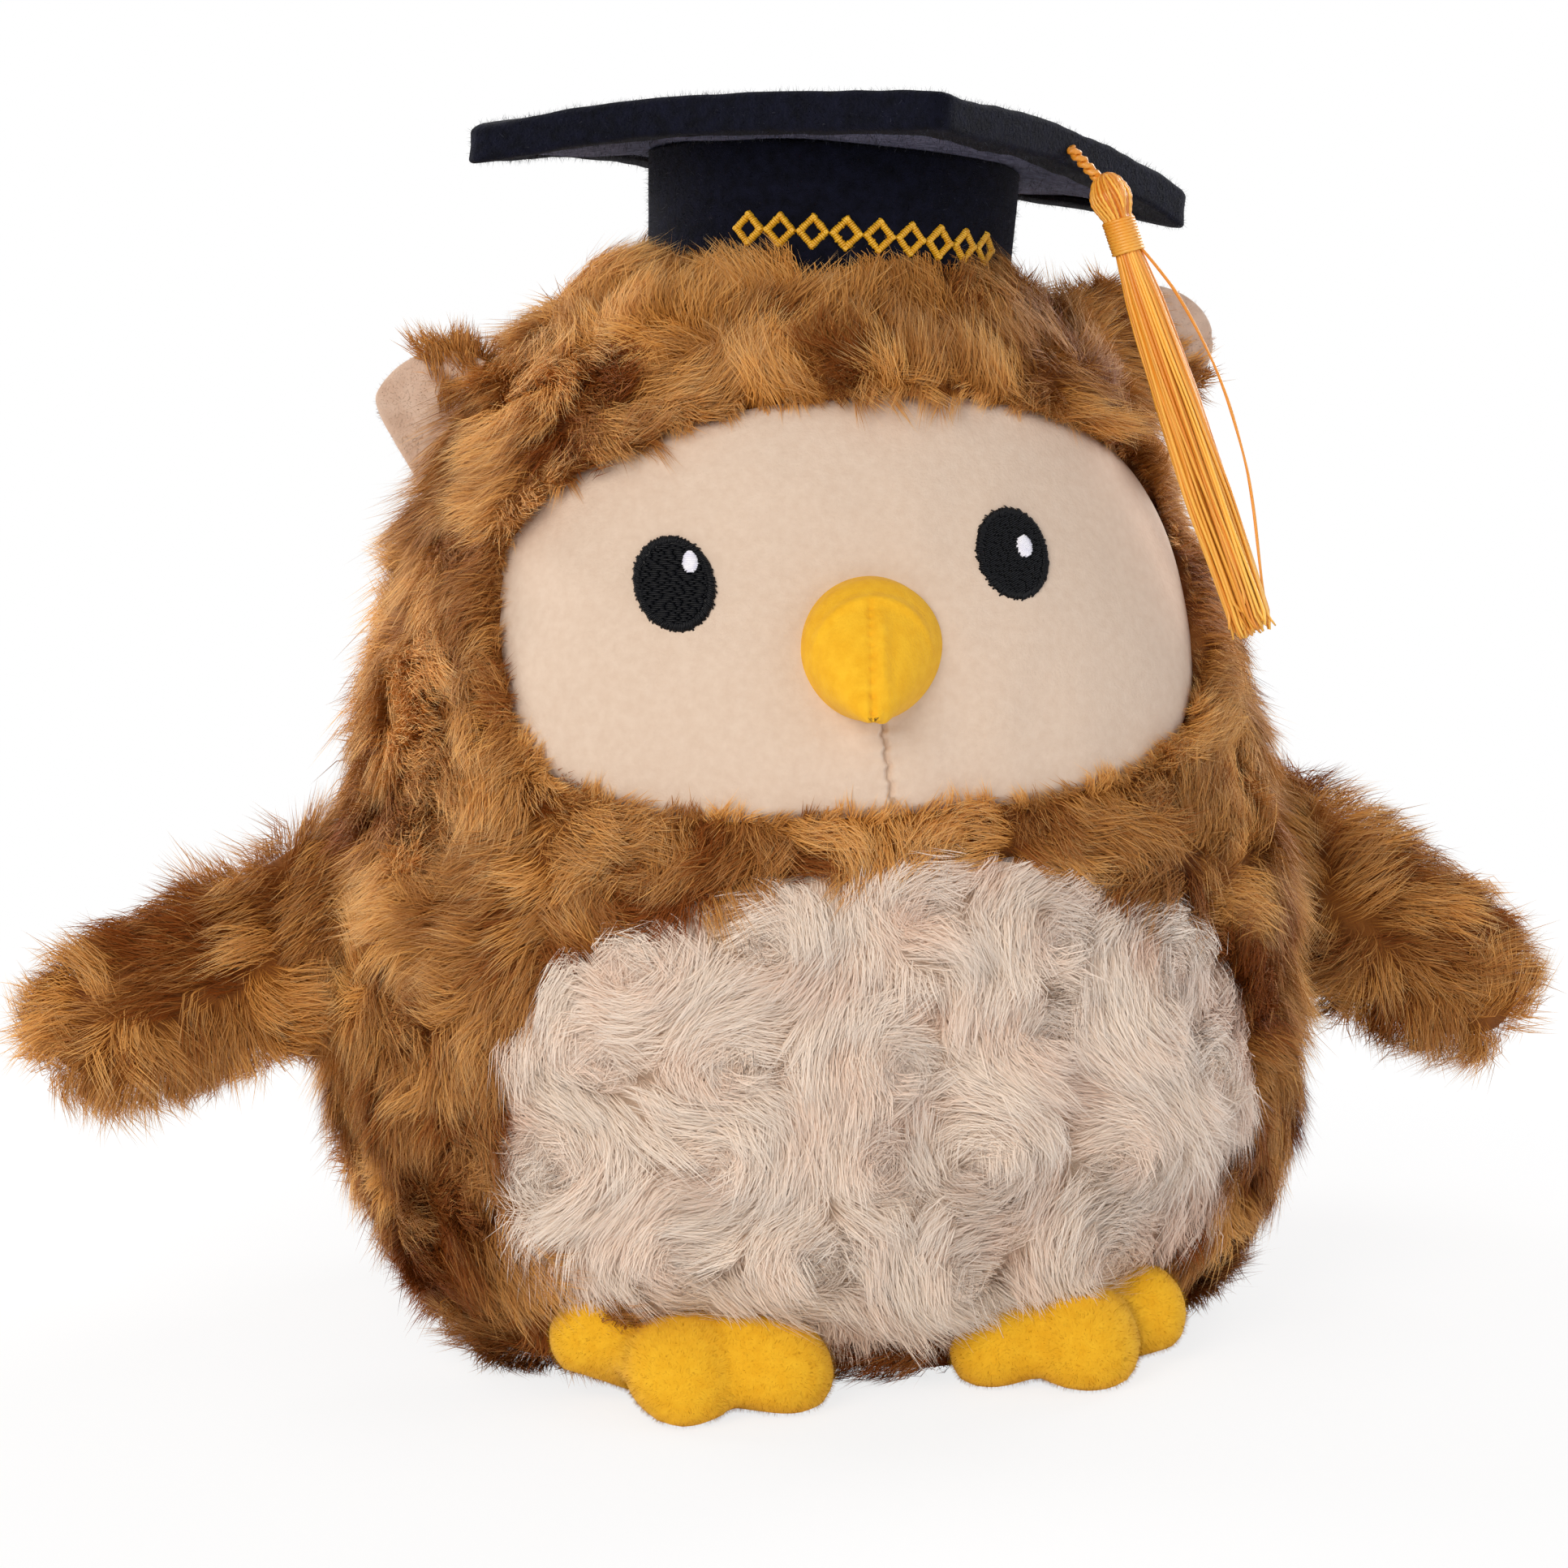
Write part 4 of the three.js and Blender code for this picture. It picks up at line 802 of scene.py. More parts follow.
def photoPoint(column, row):
    # where the camera's line through a photo pixel meets the front of the body
    right, top, back, eye = cameraAxes()
    half = view["pixels"] / 2
    ray = unit(-back + (right * (column - half) - top * (row - half)) * view["pixel"] / view["distance"])
    steps = np.linspace(850, 1100, 2500)
    line = eye + ray * steps[:, None]
    surface = bodyFront(line[:, 0], line[:, 2])[:, 1]
    return line[np.argmax(line[:, 1] > surface)]


fringeFur = dict(brownFur, spacing=1.7, perLock=20, length=5.0, slopes=(52, 34, 16, 4, -4, -8), wander=24,
                 spread=1.0, frizz=0.5, strays=0.12, tuft=6, tuftTurn=24, tuftLift=6)
# places in photo pixels
forelocks = dict(places=[(731, 566), (1062, 500), (1115, 496), (1172, 505), (800, 545)], reach=4.6,
                 longer=2.0)


def makeFringe():
    # fur that grows along the seam round the face and falls a little over it, longest at a few forelocks
    rng = np.random.default_rng(180)
    turn = rng.uniform(0, 2 * np.pi, 6000)
    w = body["face"]
    height, power = windowShape("face", np.sin(turn) > 0)
    power = 2 / power
    share = rng.uniform(0.995, 1.05, len(turn))
    x = w["x"] + w["halfWidth"] * share * np.sign(np.cos(turn)) * np.abs(np.cos(turn)) ** power
    z = w["z"] + height * share * np.sign(np.sin(turn)) * np.abs(np.sin(turn)) ** power
    places = bodyFront(x, z, body["ground"] + 0 * x)
    roots = places[onePerCube(places, fringeFur["spacing"])]
    tufts = np.array([photoPoint(c, r) for c, r in forelocks["places"]])

    def growAt(points):
        apart = np.linalg.norm(points[:, None] - tufts[None], axis=-1)
        return 1 + forelocks["longer"] * bell(apart, forelocks["reach"]).max(1)

    def flowAt(points, normals):
        inward = np.array([w["x"], 0, w["z"]]) - points
        inward[:, 1] = 0
        across = np.cross(normals, unit(inward)) * (0.7 * lumps(points, 14, 19))[:, None]
        return unit(inward) + across

    growFur("hood_panel_fringe", "owl", roots, bodyNormal(roots), bodyNormal, flowAt, fringeFur,
            brownTone(roots) + 0.06, rng, growAt=growAt)


makeFringe()


# rosettes of the belly, in photo pixels, and the way that each one turns
bellyWhorls = dict(
    places=[(738, 1285), (887, 1301), (1073, 1301), (1238, 1279), (1380, 1263), (1112, 1120), (960, 1150),
            (1262, 1150), (821, 1532), (969, 1526), (1156, 1537), (1320, 1521), (720, 1430), (900, 1420),
            (1060, 1420), (1215, 1410), (1370, 1400), (1440, 1330), (810, 1200), (1400, 1180)],
    turns=[1, 1, 1, 1, 1, 1, -1, 1, 1, 1, 1, 1, -1, -1, 1, -1, -1, 1, -1, 1],
)
whorlPlaces = np.array([photoPoint(c, r) for c, r in bellyWhorls["places"]])
whorlTurns = np.array(bellyWhorls["turns"], float)


def creamFlow(points, normals):
    flow = swirl(points, normals, whorlPlaces, whorlTurns, creamFur["inward"], creamFur["whorlReach"])
    flow[:, 2] -= creamFur["drift"]
    return flow


def makeBelly():
    rng = np.random.default_rng(210)

    def lift(x, z, share):
        # the cloth swells under each rosette as a bell curve
        apart = np.hypot(x[:, None] - whorlPlaces[:, 0], z[:, None] - whorlPlaces[:, 2])
        mounds = bell(apart, creamFur["moundReach"]).sum(1) * creamFur["moundHeight"]
        return body["ground"] + (0.8 + mounds) * (1 - share ** 6)

    points, faces = windowGrid("belly", 60, 160, lift)
    ground = makePiece("belly_panel_ground", points, faces, creamGround, "owl")
    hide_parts("belly_panel")
    roots, normals = scatter(points, faces, creamFur["spacing"], rng,
                             lambda p: ~underFoot(p) & (p[:, 2] > bare["floor"]))
    crest = crestAt(roots, whorlPlaces, creamFur["whorlReach"])
    # the belly's tone: paler on the ring round each rosette where its locks rise, a painted highlight, and
    # darker in its middle and between rosettes, painted shade; the lumps differ at random
    growFur("belly_panel_pile", "owl", roots, normals, bodyNormal, creamFlow, creamFur,
            0.36 + 0.56 * crest + 0.12 * lumps(roots, 16, 21), rng,
            liftAt=lambda p: creamFur["crest"] * crest - creamFur["trough"])


makeBelly()


def spin(axis, degrees):
    # the matrix that turns about x, y or z
    c, n = math.cos(math.radians(degrees)), math.sin(math.radians(degrees))
    return np.array(dict(x=[[1, 0, 0], [0, c, -n], [0, n, c]], y=[[c, 0, n], [0, 1, 0], [-n, 0, c]],
                         z=[[c, -n, 0], [n, c, 0], [0, 0, 1]])[axis])


def placed(points, seat):
    # from a piece's own frame, a place and a turn, to the owl's
    return points @ seat["turn"].T + np.array(seat["place"])


def closedForm(rings, first=None, last=None):
    # rings of points joined into a skin, with a fan to a pole at each end that has one, faces outward by its
    # volume
    count, sides = rings.shape[:2]
    points, faces = [rings.reshape(-1, 3)], [gridFaces(count, sides, closed=True)]
    around = np.arange(sides)
    after = (around + 1) % sides
    for pole, ring, one, other in ((first, 0, after, around), (last, (count - 1) * sides, around, after)):
        if pole is not None:
            number = np.full(sides, sum(len(part) for part in points))
            points.append(np.asarray(pole, float)[None])
            faces.append(np.stack([number, ring + one, ring + other], -1))
    points = np.concatenate(points)
    volume = sum((points[part[:, 0]] * np.cross(points[part[:, 1]], points[part[:, -1]])).sum()
                 for part in faces)
    return points, faces if volume > 0 else [part[:, ::-1] for part in faces]


padPower = 2.4  # a pad keeps its thickness towards the edge as sqrt(1 - s ^ power)


def padForm(outline, centre, frontSwell, backSwell, cup, shift, rows):
    # each ring is the outline drawn in to its centre; it stands cup (1 - s ^ 2) + swell sqrt(1 - s ^ power)
    # from flat
    turn = np.linspace(0, np.pi, rows + 2)[1:-1]
    share = (np.sin(turn) ** 0.7)[:, None]
    swell = np.where(np.cos(turn) > 0, -frontSwell, backSwell)[:, None]
    y = cup * (1 - share ** 2) + shift + swell * np.sqrt(np.maximum(0, 1 - share ** padPower))
    x = centre[0] + (outline[:, 0] - centre[0]) * share
    z = centre[1] + (outline[:, 1] - centre[1]) * share
    first, last = [(centre[0], cup + shift + out, centre[1]) for out in (-frontSwell, backSwell)]
    return closedForm(np.stack([x, y + 0 * x, z], -1), first, last)


def resample(outline, count):
    # the same closed outline with this many evenly spaced points
    ring = np.vstack([outline, outline[:1]])
    along = np.concatenate([[0], np.cumsum(np.linalg.norm(np.diff(ring, axis=0), axis=1))])
    at = np.linspace(0, along[-1], count, endpoint=False)
    return np.stack([np.interp(at, along, ring[:, k]) for k in (0, 1)], -1)


def growNap(name, body, points, faces, count, nap, rng, keep=None):
    # short straight fibres, one thin triangle each, leaning every way
    share = 1
    roots, normals = sprinkle(points, faces, lambda area: count * share, rng, keep)
    aside = unit(np.cross(normals, rng.normal(size=normals.shape)))
    lean = np.radians(rng.uniform(*nap["lean"], len(roots)))[:, None]
    length = nap["length"] * rng.uniform(0.55, 1.15, (len(roots), 1))
    tips = roots + (normals * np.cos(lean) + aside * np.sin(lean)) * length
    across = unit(np.cross(normals, aside) + 0.5 * rng.normal(size=normals.shape)) * nap["width"] / 2
    vertices = np.stack([roots - across, roots + across, tips], 1).reshape(-1, 3)
    triangles = np.arange(len(vertices)).reshape(-1, 3)
    u = np.repeat(shadeCell(rng.random(len(roots))), 3) + np.tile([-0.006, 0.006, 0], len(roots))
    v = np.tile([0.02, 0.02, 0.98], len(roots))
    piece = makePiece(name, vertices, [triangles], nap["material"], body, np.stack([u, v], -1),
                      normals=np.repeat(normals, 3, 0))
    # fibres this fine let the light past, so they throw no shadow
    piece.visible_shadow = False


velourNap = dict(length=0.95, width=0.05, lean=(0, 32), material=yellowNap, slot="yellow_plush")
liningNap = dict(velourNap, material=creamNap, slot="ear_lining")
feltFuzz = dict(length=1.3, width=0.06, lean=(10, 88), material=feltFibre, slot="black_felt")

face = dict(nap=1.5, seamDip=1.6, dartFrom=(0.4, 119.0), dartTo=(1.4, 103.5), dartDepth=1.25, dartWidth=0.45,
            pucker=0.1, puckerPitch=2.6, puckerReach=3.2)


def faceLift(x, z, share):
    # the nap's height, dipping at the outline, with a groove and its puckers along the dart under the beak
    dip = face["seamDip"] * ramp(share, 0.93, 0.07) ** 2
    (startX, startZ), (endX, endZ) = face["dartFrom"], face["dartTo"]
    middle = startX + (endX - startX) * np.clip((startZ - z) / (startZ - endZ), 0, 1)
    middle = middle + 0.22 * np.sin(z * 1.9) + 0.12 * np.sin(z * 4.3)
    on = np.clip((startZ - z) / 3, 0, 1)
    groove = face["dartDepth"] * on * bell(x - middle, face["dartWidth"])
    folds = face["pucker"] * on * np.sin(z * 2 * np.pi / face["puckerPitch"])
    flat = np.stack([x, 0 * x, z], -1)
    swell = 0.5 * lumps(flat, 46, 31) + 0.12 * lumps(flat, 13, 32)
    pucker = folds * bell(x - middle, face["puckerReach"])
    return face["nap"] - dip - groove + pucker + swell * np.clip((1 - share) / 0.1, 0, 1)


def makeFace():
    points, faces = windowGrid("face", 100, 360, faceLift, 0.72)
    piece = makePiece("face_panel_minky", points, faces, faceMinky, "owl")
    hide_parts("face_panel")


makeFace()


def tubeFaces(count, rings, sides):
    # the skins of many tubes of this many rings each, with flat ends
    quads = gridFaces(rings, sides, closed=True)
    ends = np.stack([np.arange(sides)[::-1], np.arange(sides) + (rings - 1) * sides])
    base = np.arange(count)[:, None, None] * rings * sides
    return [(base + quads).reshape(-1, 4), (base + ends).reshape(-1, sides)]


def stitchThreads(name, starts, ends, outward, width, arch, material, sink=0.25):
    # each stitch is a thread that rises out of the cloth, arches over and goes back in
    count, rings, sides = len(starts), 6, 5
    t = np.linspace(0, 1, rings)
    line = starts[:, None] + (ends - starts)[:, None] * t[None, :, None]
    height = -sink + (arch + sink) * np.sin(np.pi * t) ** 0.45
    line = line + outward[:, None] * height[None, :, None]
    across = np.cross(unit(ends - starts), outward)
    turn = np.arange(sides) * 2 * np.pi / sides
    shape = across[:, None, None] * np.cos(turn)[None, None, :, None] * width / 2
    shape = shape + outward[:, None, None] * np.sin(turn)[None, None, :, None] * width * 0.42
    faces = [part[:, ::-1] for part in tubeFaces(count, rings, sides)]
    return makePiece(name, (line[:, :, None] + shape).reshape(-1, 3), faces, material, "owl")


eye = dict(
    halfWidth=6.4, halfHeight=7.6, border=1.4, rise=0.5, flat=0.28, pitch=0.3, thread=0.36, fillStitch=1.7,
    shortest=0.4, glintThread=0.48,
    left=dict(x=25.8, z=142.1, lean=-16, glint=(2.1, 0.9, 1.5, 1.65)),
    right=dict(x=-31.2, z=140.4, lean=4, glint=(2.9, 3.3, 1.35, 1.65)),
)


def onEye(side, across, up, lift):
    # a place in an eye's own leaning frame, laid on the face
    own = eye[side]
    lean = math.radians(own["lean"])
    x = own["x"] + across * math.cos(lean) + up * math.sin(lean)
    z = own["z"] - across * math.sin(lean) + up * math.cos(lean)
    return bodyFront(x, z, face["nap"] + lift + 0 * x)


def makeEye(side):
    rng = np.random.default_rng(300 + len(side))
    a, b, border = eye["halfWidth"], eye["halfHeight"], eye["border"]
    # padding under the stitches: an oval whose rim is higher than its middle
    rings, sides = 16, 64
    turn = np.arange(sides) * 2 * np.pi / sides
    share = np.linspace(0.02, 1, rings)[:, None]
    across, up = (share * (a - 0.1) * np.cos(turn)).ravel(), (share * (b - 0.1) * np.sin(turn)).ravel()
    fromEdge = (1 - np.repeat(share.ravel(), sides)) * (a + b) / 2
    rim = eye["rise"] * np.sin(np.pi * np.clip(fromEdge / border, 0, 1)) ** 0.6
    height = np.where(fromEdge < border, rim, eye["flat"])
    height = np.maximum(height, np.where(fromEdge > border * 0.8, eye["flat"], -0.4))
    points = onEye(side, across, up, height)
    quads = facing(points, gridFaces(rings, sides, closed=True), bodyNormal(points))
    pad = makePiece("eye_" + side + "_padding", points, [quads], blackThread, "owl")
    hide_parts("eye_" + side)
    # rim in satin stitch, each stitch across the border
    count = int(math.pi * (a + b) / eye["pitch"])
    turn = np.arange(count) * 2 * np.pi / count
    slant = turn + 0.05
    rag = rng.normal(0, 0.14, (2, count))
    outer = onEye(side, (a + rag[0]) * np.cos(turn), (b + rag[0]) * np.sin(turn), 0.15)
    inner = onEye(side, (a - border + rag[1]) * np.cos(slant), (b - border + rag[1]) * np.sin(slant), 0.3)
    stitchThreads("eye_" + side + "_rim", outer, inner, bodyNormal(outer), eye["thread"], eye["rise"] * 0.8,
                  blackThread)
    # fill in rows of stitches of many lengths, so that their ends line up nowhere
    starts, ends = [], []
    for row in np.arange(-b + border, b - border + 0.01, eye["pitch"]):
        half = (a - border + 0.3) * math.sqrt(max(0, 1 - (row / (b - border + 0.3)) ** 2))
        first = -half - eye["fillStitch"] * rng.random()
        marks = first + np.cumsum(eye["fillStitch"] * rng.uniform(0.45, 1.55, 24))
        marks = np.clip(np.concatenate([[-half], marks, [half]]), -half, half)
        for left, right in zip(marks[:-1], marks[1:]):
            if right - left > eye["shortest"]:
                starts.append((left, row))
                ends.append((right, row))
    starts, ends = np.array(starts).T, np.array(ends).T
    fromPoints, toPoints = [onEye(side, x, z + 0.1 * x, 0.3) for x, z in (starts, ends)]
    stitchThreads("eye_" + side + "_fill", fromPoints, toPoints, bodyNormal(fromPoints), eye["thread"], 0.22,
                  blackThread, sink=0.05)
    # glint: white satin stitches across a small oval, given by its middle and its half sizes
    gx, gz, ga, gb = eye[side]["glint"]
    lean = math.radians(eye[side]["lean"])
    across = gx * math.cos(lean) - gz * math.sin(lean)
    up = gx * math.sin(lean) + gz * math.cos(lean)
    rows = np.linspace(-gb + 0.15, gb - 0.15, int(2 * gb / 0.3))
    half = ga * np.maximum(0, 1 - np.abs(rows / gb) ** 2.6) ** 0.5 + rng.normal(0, 0.05, len(rows))
    fromPoints, toPoints = [onEye(side, across + h, up + rows + 0.08 * h, 0.5) for h in (-half, half)]
    glint = stitchThreads("eye_glint_" + side + "_satin", fromPoints, toPoints, bodyNormal(fromPoints),
                          eye["glintThread"], 0.42, whiteThread)
    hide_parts("eye_glint_" + side)


for side in ("left", "right"):
    makeEye(side)
print("face and eyes made")


beak = dict(
    baseX=0, baseZ=128.8, radius=12.2, reach=15.5, tipX=-3.2, drop=9.2, dropPower=2, fullness=1.4,
    roundness=0.8, seam=0.3, seamWidth=0.7, stitch=1.35, pinch=0.45, cleft=0.45, cleftWidth=0.75,
    ridge=0.8, ridgeX=1.9, ridgeWidth=1.2, fold=0.75, foldAt=0.3, foldWidth=0.05,
)


def beakPoint(share, turn):
    # rings shrink as (1 - s ^ fullness) ^ roundness and their middles sink as s ^ 2, with a seam down the
    # middle
    s = np.maximum(share, 0)
    radius = beak["radius"] * np.maximum(1 - s ** beak["fullness"], 0) ** beak["roundness"]
    seat = bodyFront(np.array([float(beak["baseX"])]), np.array([float(beak["baseZ"])]))[0, 1]
    x, up = radius * np.cos(turn), radius * np.sin(turn)
    along = s * beak["reach"] * 1.35
    pinched = beak["pinch"] * np.maximum(np.cos(2 * np.pi * along / beak["stitch"]), 0) ** 2
    sewn = beak["seam"] * bell(x, beak["seamWidth"]) + pinched * bell(x, beak["seamWidth"] * 0.7)
    groove = ramp(s, 0.26, 0.08) * sewn
    groove += beak["cleft"] * ramp(s, 0.78, 0.2) * bell(x, beak["cleftWidth"])
    ridge = beak["ridge"] * ramp(s, 0.35, 0.2) * np.clip((0.92 - s) / 0.1, 0, 1)
    ridge = ridge * bell(x - beak["ridgeX"], beak["ridgeWidth"])
    # a faint fold runs round the upper half, a third of the way out
    fold = beak["fold"] * bell(s - beak["foldAt"], beak["foldWidth"]) * np.clip(np.sin(turn) + 0.2, 0, 1)
    out = ridge - groove + fold
    z = beak["baseZ"] - beak["drop"] * s ** beak["dropPower"] + up + out * 0.5 * np.sign(up + 1e-6)
    return np.stack([beak["baseX"] + beak["tipX"] * s + x, seat - beak["reach"] * share - out * 0.7, z], -1)


def makeBeak():
    # two rings more than those on show reach back into the face
    rows, columns = 90, 91
    share = np.concatenate([[-0.35, -0.15], np.sin(np.linspace(0, np.pi / 2, rows - 2)) * 0.996])[:, None]
    quarter = np.pi / 2 * np.sin(np.linspace(-np.pi / 2, np.pi / 2, columns))[None]
    for side, middle in (("left", 0), ("right", np.pi)):
        turn = quarter + middle
        points = beakPoint(share + 0 * turn, turn + 0 * share).reshape(-1, 3)
        faces = facing(points, gridFaces(rows, columns), points - np.array([0, -60.0, 126.0]))
        piece = makePiece("beak_panel_" + side + "_velour", points, [faces], yellowVelour, "owl")
        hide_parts("beak_panel_" + side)


makeBeak()
print("beak made")


wings = dict(
    length=49, width=27, halfThickness=4.6, shoulder=0.12, middle=0.48, tipPower=3.4, rootLength=37, turn=20,
    left=dict(sign=1, place=(90.2431, 4, 71.9075), slope=5.754, droop=42),
    right=dict(sign=-1, place=(-90.2453, 4, 71.9081), slope=5.763, droop=24),
    ground=0.8, parting=-2.5, shoulderRadius=(8.5, 6.5, 19.5), shoulderInset=4.0,
)
wingFur = dict(brownFur, spacing=2.4, perLock=34, length=11, slopes=(58, 36, 20, 8, 2, -4), wander=9, tuft=11,
               whorlReach=9)


def wingOutline(side):
    # the paddle's two edges either side of a drooping middle line, half width w / 2 sqrt(1 - s ^ p), and its
    # upright root
    droop, grow = math.radians(wings[side]["droop"]), wings["ground"]
    share = np.sin(np.linspace(0.02, np.pi / 2, 60))
    along = (wings["length"] + grow) * (wings["shoulder"] + (1 - wings["shoulder"]) * share)
    half = (wings["width"] / 2 + grow) * np.sqrt(np.maximum(0, 1 - share ** wings["tipPower"]))
    root = wings["rootLength"] / 2
    upper, lower = [np.stack([along * math.cos(droop) + off * math.sin(droop),
                              off * math.cos(droop) - along * math.sin(droop)], -1) for off in (half, -half)]
    outline = np.vstack([[0, root], upper, lower[-2::-1], [0, -root], [0, 0]])
    outline[:, 0] = np.maximum(outline[:, 0], 0)
    return outline * np.array([wings[side]["sign"], 1])


def makeWing(side):
    own = wings[side]
    rng = np.random.default_rng(400 + own["sign"])
    droop, sign = math.radians(own["droop"]), own["sign"]
    seat = dict(place=own["place"], turn=spin("y", -sign * own["slope"]) @ spin("x", -wings["turn"]))
    outline = resample(wingOutline(side), 120)
    middle = wings["length"] * wings["middle"]
    centre = (sign * middle * math.cos(droop), -middle * math.sin(droop))
    bearing = np.arctan2(outline[:, 1] - centre[1], outline[:, 0] - centre[0])
    order = np.argsort(bearing)
    reach = np.linalg.norm(outline - centre, axis=1)[order]
    thick = wings["halfThickness"] + wings["ground"]

    def normalAt(points):
        # the slope of (y / t) ^ 2 + s ^ power, where s is the distance from the centre over the outline's
        away = points[..., [0, 2]] - centre
        distance = np.maximum(np.linalg.norm(away, axis=-1), 1e-6)
        edge = np.interp(np.arctan2(away[..., 1], away[..., 0]), bearing[order], reach, period=2 * np.pi)
        steep = padPower * (distance / edge) ** (padPower - 1) / edge / distance
        through = 2 * points[..., 1] / thick ** 2
        return unit(np.stack([away[..., 0] * steep, through, away[..., 1] * steep], -1))

    alongWay = np.array([sign * math.cos(droop), 0, -math.sin(droop)])
    acrossWay = np.array([sign * math.sin(droop), 0, math.cos(droop)])
    tipWhorl = alongWay * wings["length"] * 0.8 + acrossWay * 2

    def flowAt(points, normals):
        # out along the wing above the parting, down below it, and round a whorl near the tip
        off = points @ acrossWay - wings["parting"]
        above = np.clip(off / 3, -1, 1)[:, None]
        flow = alongWay * (0.85 + 0.35 * above) + acrossWay * np.where(above > 0, 0.55 * above, 1.1 * above)
        flow = flow - alongWay * 2.4 * bell(points[:, :1], 6)
        whorls, turns = np.stack([tipWhorl + [0, -5, 0], tipWhorl + [0, 5, 0]]), np.array([1.0, -1.0]) * sign
        return flow + 1.8 * swirl(points, normals, whorls, turns, 0.1, wingFur["whorlReach"])

    points, faces = padForm(outline, centre, thick, thick, 0, 0, 34)
    points = points + normalAt(points) * (0.5 * lumps(points, 15, 41))[:, None]
    front = points[faces[0]].mean(1)[:, 1] < 0
    for half, chosen, fan in (("front", front, faces[1]), ("back", ~front, faces[2])):
        node = "wing_" + half + "_" + side
        parts = [faces[0][chosen], fan]
        used, numbers = np.unique(np.concatenate([part.ravel() for part in parts]), return_inverse=True)
        split = np.cumsum([part.size for part in parts])[:-1]
        parts = [n.reshape(part.shape) for n, part in zip(np.split(numbers.ravel(), split), parts)]
        ground = makePiece(node + "_ground", placed(points[used], seat), parts, brownGround, "wing_" + side)
        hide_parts(node)
        roots, normals = scatter(points[used], parts, wingFur["spacing"], rng)
        # the wing's tone: random lumps, with a painted highlight paler on its lower side and towards the tip
        low = np.clip(-(roots @ acrossWay) / 12, 0, 1)
        tone = 0.42 + 0.24 * lumps(roots, 16, 43) + 0.14 * low + 0.16 * ramp(roots @ alongWay, 25, 25)
        growFur(node + "_pile", "wing_" + side, roots, normals, normalAt, flowAt, wingFur, tone, rng, seat,
                liftAt=lambda p: 34 * bell(p[:, 0], 6))


def makeShoulder(side):
    # the cloth bulges where a wing is sewn on: an ellipsoid round the hinge, which fills the root at every
    # swing of the wing
    own = wings[side]
    rng = np.random.default_rng(420 + own["sign"])
    sign, reach = own["sign"], np.array(wings["shoulderRadius"])
    place = np.array(own["place"]) - [sign * wings["shoulderInset"], 0, 0]
    seat = dict(place=place, turn=spin("y", -sign * own["slope"]))
    level = np.linspace(-0.98, 0.98, 24)[:, None]
    turn = np.arange(40) * 2 * np.pi / 40
    rings = onCircle(np.sqrt(1 - level ** 2), turn, level) * reach
    points, faces = closedForm(rings, (0, 0, -reach[2]), (0, 0, reach[2]))
    ground = makePiece("wing_root_" + side + "_ground", placed(points, seat), faces, brownGround, "owl")
    roots, normals = scatter(points, faces, wingFur["spacing"], rng, lambda p: sign * p[:, 0] > -1.5)
    growFur("wing_root_" + side + "_pile", "owl", roots, normals, lambda p: unit(p / reach ** 2),
            lambda p, n: np.tile([0.5 * sign, 0, -0.85], (len(p), 1)), dict(wingFur, length=8.5), 0.36, rng,
            seat)


for make in (makeWing, makeShoulder):
    for side in ("left", "right"):
        make(side)


ears = dict(
    rootLength=26, lining=1.8, fur=4.2, cup=3.2, turn=24, middle=0.5, roundness=0.8, gap=0.15, foldAt=-3.5,
    foldDepth=0.5, foldWidth=0.7,
    left=dict(sign=1, place=(57.5635, 4, 167.4603), slope=34.87, height=24, sink=16, trim=0.0, bare=14.0,
              lay=(0.6, -0.8)),
    right=dict(sign=-1, place=(-60.3533, 4, 162.412), slope=30.64, height=15, sink=4, trim=0.62, bare=-0.5,
               lay=(-0.73, 0.68)),
)
earFur = dict(brownFur, spacing=2.0, perLock=30, length=6.5, slopes=(50, 30, 16, 8, 4, 0), spread=1.4,
              frizz=0.6, strays=0.12, tuft=7)
earRimFur = dict(earFur, spread=1.5, perLock=34)


